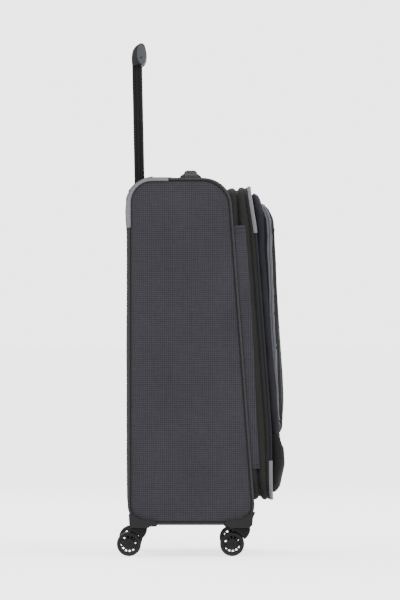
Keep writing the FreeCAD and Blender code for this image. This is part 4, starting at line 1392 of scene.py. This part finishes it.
def hub_profile(half):
    return [(0, -half + 1.2), (5.2, -half + 1.0), (5.6, -half + 1.5), (10.8, -half + 1.2),
            (12.2, -half + 2.6), (12.2, half - 2.6), (10.8, half - 1.2), (5.6, half - 1.5),
            (5.2, half - 1.0), (0, half - 1.2)]


WHEEL_HALF = 6.5


def caster_wheel(name, x, y):
    half = WHEEL_HALF

    def place(a, b, along):
        return Vector((x + along, y + a, WHEEL_RADIUS + b))

    make_mesh(name + "_tyre", *revolve(tyre_profile(half), place, 72)[:2], "tread", name)
    parts = [revolve(hub_profile(half), place, 40)]
    for number in range(SPOKES):
        turn = 2 * math.pi * (number + 0.3) / SPOKES
        outline = [(11.6, -2.0), (14, -1.5), (17.4, -1.9), (17.4, 1.9), (14, 1.5), (11.6, 2.0)]
        spun = [(r * math.cos(turn) - w * math.sin(turn), r * math.sin(turn) + w * math.cos(turn))
                for r, w in outline]
        parts.append(extrude(spun, -half + 1.9, half - 1.9, place))
    hub = clean(join_pieces(name + "_hub", "wheel_plastic", name, parts))
    rounded(hub, 0.35, 2)
    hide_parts(name)


def caster_fork(name, x, pivot):
    """A fork with a fender horn ahead of its twin wheels, a web between them and the axle."""
    centre = (WHEEL_TRAIL, WHEEL_RADIUS)
    outline = ([(-21.4, 57.8)] + arc_points((5, 57), 26.6, 186, 236, 8)
               + arc_points(centre, 26.4, 158, 92, 10) + [(15.6, 54.0), (14, 57.6)])

    def side_on(a, b, through):
        return Vector((x + through, pivot + a, b))

    web = ([(-6, 50)] + arc_points(centre, 6.5, 215, 325, 8) + [(24, 50)])
    body = join_pieces(name + "_fender", "fork_plastic", name, [
        extrude(outline, -16.3, -4.4, side_on), extrude(outline, 4.4, 16.3, side_on),
        extrude([(a * 0.985, b - 0.5) for a, b in outline], -4.6, 4.6, side_on)])
    rounded(body, 0.9, 3)
    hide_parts(name)
    core = join_pieces(name + "_web", "fork_plastic", name, [
        extrude(web, -2.6, 2.6, side_on),
        revolve([(0, 43.0), (12.6, 43.0), (13.6, 45.0), (13.6, 56.8), (12.4, 58.2), (0, 58.2)],
                lambda a, b, along: Vector((x + a, pivot + b, along)), 40),
        revolve([(0, -16.4), (2.4, -16.4), (2.9, -15.6), (2.9, 15.6), (2.4, 16.4), (0, 16.4)],
                lambda a, b, along: Vector((x + along, pivot + WHEEL_TRAIL + a, WHEEL_RADIUS + b)), 24)])
    rounded(clean(core), 0.4, 2)


for end, pivot in CASTERS.items():
    for side_name, side_sign in (("left", -1), ("right", 1)):
        caster = f"{end}_{side_name}"
        caster_fork(caster + "_fork", side_sign * CASTER_SIDE, pivot)
        for row, offset in (("outer", 10), ("inner", -10)):
            caster_wheel(f"{caster}_{row}_wheel", side_sign * (CASTER_SIDE + offset), pivot + WHEEL_TRAIL)


# ---------------------------------------------------------------- trolley tubes

TROLLEY_LEAN = 0.0204
TROLLEY_BACK = 126


def on_trolley(x, y, z):
    lean_cos = 1 / math.sqrt(1 + TROLLEY_LEAN ** 2)
    return Vector((x, TROLLEY_BACK + y * lean_cos + z * TROLLEY_LEAN * lean_cos,
                   CASE_TOP - y * TROLLEY_LEAN * lean_cos + z * lean_cos))


def tube_section(half_across, half_deep, radius, grooves):
    """A rounded tube's section with fine lengthwise grooves in its two wide faces."""
    points = rounded_section(-half_across, half_across, -half_deep, half_deep, radius, 5)
    side_face = []
    for sign in (1, -1):
        run = []
        for middle in grooves:
            run += [(half_across, middle - 0.9), (half_across - 0.7, middle - 0.5),
                    (half_across - 0.7, middle + 0.5), (half_across, middle + 0.9)]
        side_face.append([(sign * a, sign * b) for a, b in run])
    half = len(points) // 2
    return points[:half] + side_face[1] + points[half:] + side_face[0]


tube_parts = []
for side_sign in (-1, 1):
    frames = [(on_trolley(side_sign * TUBE_SPAN, 0, z), Vector((1, 0, 0)),
               (on_trolley(0, 1, 0) - on_trolley(0, 0, 0))) for z in (-408, -200, 0, 120, 241)]
    tube_parts.append(sweep(frames, tube_section(6.95, 9.95, 4.2, (-3.4, 3.4))))
tubes = join_pieces("trolley_stage_tubes", "tube_metal", "trolley", tube_parts, "trolley_inner_tubes")
tubes.data.polygons.foreach_set("use_smooth", [False] * len(tubes.data.polygons))


# ---------------------------------------------------------------- linings, seen when the lid is open

CASE_FACING = ((-7.9, 10.2), (-8.6, 5), (-10.2, 1.6), (-16.5, 1.0), (-19.4, -1), (-19.8, -8.4))
LID_FACING = ((-7.9, 14.6), (-9.2, 17), (-9.8, 22), (-9.9, 27.5))
ring_band("opening_facing", CASE_FACING, 0.9, "lining_board", "case", "front_frame")
ring_band("lid_rim_facing", LID_FACING, 0.9, "lining_board", "lid_rim")


def lid_lining_place(point, depth):
    return front(point.x, point.y, 41.4 - 0.8 * smooth_step(4, 60, depth))


lid_lining = filled_cloth("lid_lining", opening_loop(9, -7), LID_INSETS, 22, lid_lining_place, "lining_board",
                          "lid_front", lid_bow)


def side_lining(side_name, side_sign):
    def place(point, depth):
        inset = 0.8 * smooth_step(3, 40, depth) + 0.5 * wrinkle(1, point.x, point.y, 70, 5)
        return side_sign * (232.6 - inset), point.x, point.y

    lining = filled_cloth(side_name + "_side_lining", side_loop(9, -7.5), (0, 5, 12), 24, place,
                          "lining_board", "case")


side_lining("left", -1)
side_lining("right", 1)


WRAP_BACK = 95


def inner_wrap():
    """Lining round the top, back and foot of the compartment, in front of the trolley's tray and tubes."""
    loop, normals, _ = side_loop(8, -7.2)
    kept = [index for index in range(len(loop)) if not (loop[index].x < -60 and 128 < loop[index].y < 728)]
    breaks = [i for i in range(1, len(kept)) if kept[i] != kept[i - 1] + 1]
    if breaks:
        kept = kept[breaks[0]:] + kept[:breaks[0]]
    outline = []
    for index in kept:
        point = Vector((min(loop[index].x, WRAP_BACK), loop[index].y))
        if not outline or (point - outline[-1]).length > 1:
            outline.append(point)
    xs = [-232 + 464 * column / 24 for column in range(25)]
    vertices = [(x, point.x, point.y) for point in outline for x in xs]
    faces = skin_faces(len(outline), len(xs), closed_profile=False)
    piece = make_mesh("wrap_lining", vertices, faces, "lining_board", "case")


inner_wrap()

BACK_LINING = 93.2
BACK_CORNERS = ((-230, 79), (-230, 727), (230, 727), (230, 79))


def back_lining_place(point, depth):
    """The lining sinks between seams that run every 115 mm."""
    sink = 1.6 * smooth_step(2, 30, depth) * (1 - 0.8 * bell((point.x % 115) - 57.5, 0, 5))
    return point.x, BACK_LINING - sink - 0.5 * wrinkle(point.x, 0, point.y, 80, 9), point.y


back_lining = filled_cloth("back_lining", rounded_loop(BACK_CORNERS, (12,) * 4, 9), (0, 3, 8), 20,
                           back_lining_place, "lining_board", "case")


def packing_strap(name, top_x, foot_x):
    """A flat elastic packing strap across the back lining, from its top corner to the buckle."""
    stations = 40
    across = Vector((0.94, 0, 0.34 if top_x < 0 else -0.34))
    frames = []
    for index in range(stations + 1):
        share = index / stations
        x = top_x + (foot_x - top_x) * share
        z = 690 - 560 * share
        slack = 3.2 * math.sin(math.pi * share) + 0.5 * wrinkle(x, 0, z, 60, 4)
        frames.append((Vector((x, BACK_LINING - 3.6 - slack, z)), across, Vector((0, 1, 0))))
    join_pieces(name, "webbing", "case", [sweep(frames, rounded_section(-12, 12, -0.6, 0.6, 0.5, 2))])


packing_strap("packing_strap_left", -200, -12)
packing_strap("packing_strap_right", 200, 12)
buckle = join_pieces("packing_buckle", "tray_plastic", "case", [
    extrude([(-26, -17), (26, -17), (30, -10), (30, 10), (26, 17), (-26, 17), (-30, 10), (-30, -10)],
            BACK_LINING - 12, BACK_LINING - 3.4, lambda a, b, through: Vector((a, through, 134 + b)))])
rounded(buckle, 2.0, 3)


# ---------------------------------------------------------------- the trolley's grip

GRIP_HALF = 97
GRIP_CENTRE = (-5.0, 258)
GRIP_OUTLINE = ((10.0, 236.7), (10.6, 248), (9.6, 260), (6.0, 270), (0.5, 276.6), (-6, 280.2), (-11.6, 281.0),
                (-16.2, 277), (-18.6, 269), (-19.2, 259.5), (-17.8, 249), (-14.0, 241), (-10.2, 236.7))
PAD_OUTLINE = ((-7.5, 281.0), (-12.0, 281.9), (-17.0, 277.6), (-19.5, 269), (-20.1, 259.5), (-18.7, 248.6),
               (-14.6, 240.2), (-12.0, 238.0))
CAP_OUTLINE = ((-3, 275), (-9.5, 279), (-15, 275.5), (-18.2, 267), (-18.8, 256), (-17, 246.5), (-12.5, 238.5),
               (-7, 240), (-2.5, 248), (-0.5, 261))


def grip_body(name, outline, half, material, rounding, node):
    """A bar with the grip's end view, rounded off towards its two ends."""
    section = smooth_curve(outline)
    centre = Vector(GRIP_CENTRE)
    frames = []
    taper = ((0, 0.86), (0.35 * rounding, 0.94), (rounding, 0.985), (2.2 * rounding, 1.0))
    stations = [(-half + reach, share) for reach, share in taper] + [(-40, 1.0), (0, 1.0), (40, 1.0)]
    stations += [(half - reach, share) for reach, share in reversed(taper)]
    for x, share in stations:
        middle = on_trolley(x, centre.x, centre.y)
        frames.append((middle, (on_trolley(x, centre.x + 1, centre.y) - middle) * share,
                       (on_trolley(x, centre.x, centre.y + 1) - middle) * share))
    bar = sweep(frames, [(a - centre.x, b - centre.y) for a, b in section])
    join_pieces(name, material, "trolley", [bar], node)


grip_body("grip_shell", GRIP_OUTLINE, GRIP_HALF, "grip_plastic", 2.4, "trolley_grip")
pad_section = smooth_curve(PAD_OUTLINE)[::4]
grip_body("grip_cover", pad_section + [(a + 2.6, b) for a, b in reversed(pad_section)], GRIP_HALF - 1.5,
          "grip_pad", 3.0, "grip_pad")
for number, side_sign in enumerate((-1, 1)):
    cap = join_pieces(f"grip_end_cap_{number}", "grip_pad", "trolley", [
        extrude(smooth_curve(CAP_OUTLINE + CAP_OUTLINE[:1])[:-1], 0, 1.5,
                lambda a, b, through: on_trolley(side_sign * (GRIP_HALF - 1.0 + through), a, b))])
    rounded(cap, 0.7, 3)
    place = on_trolley(side_sign * (GRIP_HALF + 0.3), -9.4, 252)
    screw = join_pieces(f"grip_end_screw_{number}", "fork_plastic", "trolley", [
        revolve([(0, 0.1), (1.1, 0.1), (1.4, 0.5), (2.0, 0.7), (2.2, 0.3), (2.2, -0.6), (0, -0.6)],
                lambda a, b, along: place + Vector((side_sign * along, a, b)), 18)])
    clean(screw)

# ---------------------------------------------------------------- finish of the parts carried over

BEVELS = {"trolley_tray": 1.2, "rear_corner_guards": 1.6, "front_corner_guards": 1.6, "grip_button": 0.8,
          "trolley_outer_tubes": 0.3}
for part in frame["record"]["subparts"]:
    node = frame["nodes"][part["node"]]
    for material_slot in node.material_slots:
        material_slot.link = "OBJECT"
        material_slot.material = MATERIALS[part["material_slot"]]
    if part["node"] in BEVELS:
        rounded(node, BEVELS[part["node"]], 3, 30)
    elif part["node"].endswith(("_slider", "_pull")):
        rounded(node, 0.45, 2, 30)


# ---------------------------------------------------------------- floor, light and camera

SKY_LIGHT = 1.5
BACKDROP_GLOW = 3.6
CAMERA_LENS = 430.3
CAMERA_PLACE = (-14.94, 0, 0.526)

floor = bpy.data.objects.new("studio_floor", bpy.data.meshes.new("studio_floor"))
bpy.context.scene.collection.objects.link(floor)
floor.data.from_pydata([(-60, -60, -0.0005), (60, -60, -0.0005), (60, 60, -0.0005), (-60, 60, -0.0005)], [],
                       [(0, 1, 2, 3)])
floor_material, floor_tree, floor_shader = new_material("studio_floor")
floor_tone = noise_field(floor_tree, object_coordinates(floor_tree), 1.5, 2.0)
floor_colour = blend_colour(floor_tree, floor_tone, (0.86, 0.86, 0.87), (0.90, 0.90, 0.90))
floor_tree.links.new(floor_colour, floor_shader.inputs["Base Color"])
floor_shader.inputs["Roughness"].default_value = 0.9
floor_shader.inputs["Emission Color"].default_value = (1, 1, 1, 1)
floor_shader.inputs["Emission Strength"].default_value = BACKDROP_GLOW - SKY_LIGHT
floor.data.materials.append(floor_material)
floor.visible_diffuse = floor.visible_glossy = False

world = bpy.data.worlds.new("studio")
bpy.context.scene.world = world
world.use_nodes = True
background = next(node for node in world.node_tree.nodes if node.type == "BACKGROUND")
background.inputs[0].default_value = (1, 1, 1, 1)
# a white backdrop behind the object, brighter than the light that falls on it
is_backdrop = add_node(world.node_tree, "LightPath").outputs["Is Camera Ray"]
glow = maths(world.node_tree, "MULTIPLY_ADD", is_backdrop, BACKDROP_GLOW - SKY_LIGHT, SKY_LIGHT)
world.node_tree.links.new(glow, background.inputs[1])


def soft_light(name, place, target, size, power):
    lamp = bpy.data.lights.new(name, "AREA")
    lamp.shape, lamp.size, lamp.energy = "DISK", size, power
    light = bpy.data.objects.new(name, lamp)
    bpy.context.scene.collection.objects.link(light)
    light.location = place
    light.rotation_euler = (Vector(target) - Vector(place)).to_track_quat("-Z", "Y").to_euler()


soft_light("key_light", (-3.2, -2.4, 4.2), (0, 0, 0.5), 2.2, 130)
soft_light("fill_light", (-3.6, 3.2, 2.4), (0, 0, 0.5), 2.6, 45)
soft_light("rim_light", (3.4, 1.0, 3.2), (0, 0, 0.6), 2.0, 90)

camera_data = bpy.data.cameras.new("camera")
camera_data.lens, camera_data.sensor_width, camera_data.clip_end = CAMERA_LENS, 36, 200
camera = bpy.data.objects.new("camera", camera_data)
bpy.context.scene.collection.objects.link(camera)
camera.location = CAMERA_PLACE
camera.rotation_euler = (math.pi / 2, 0, -math.pi / 2)
bpy.context.scene.camera = camera
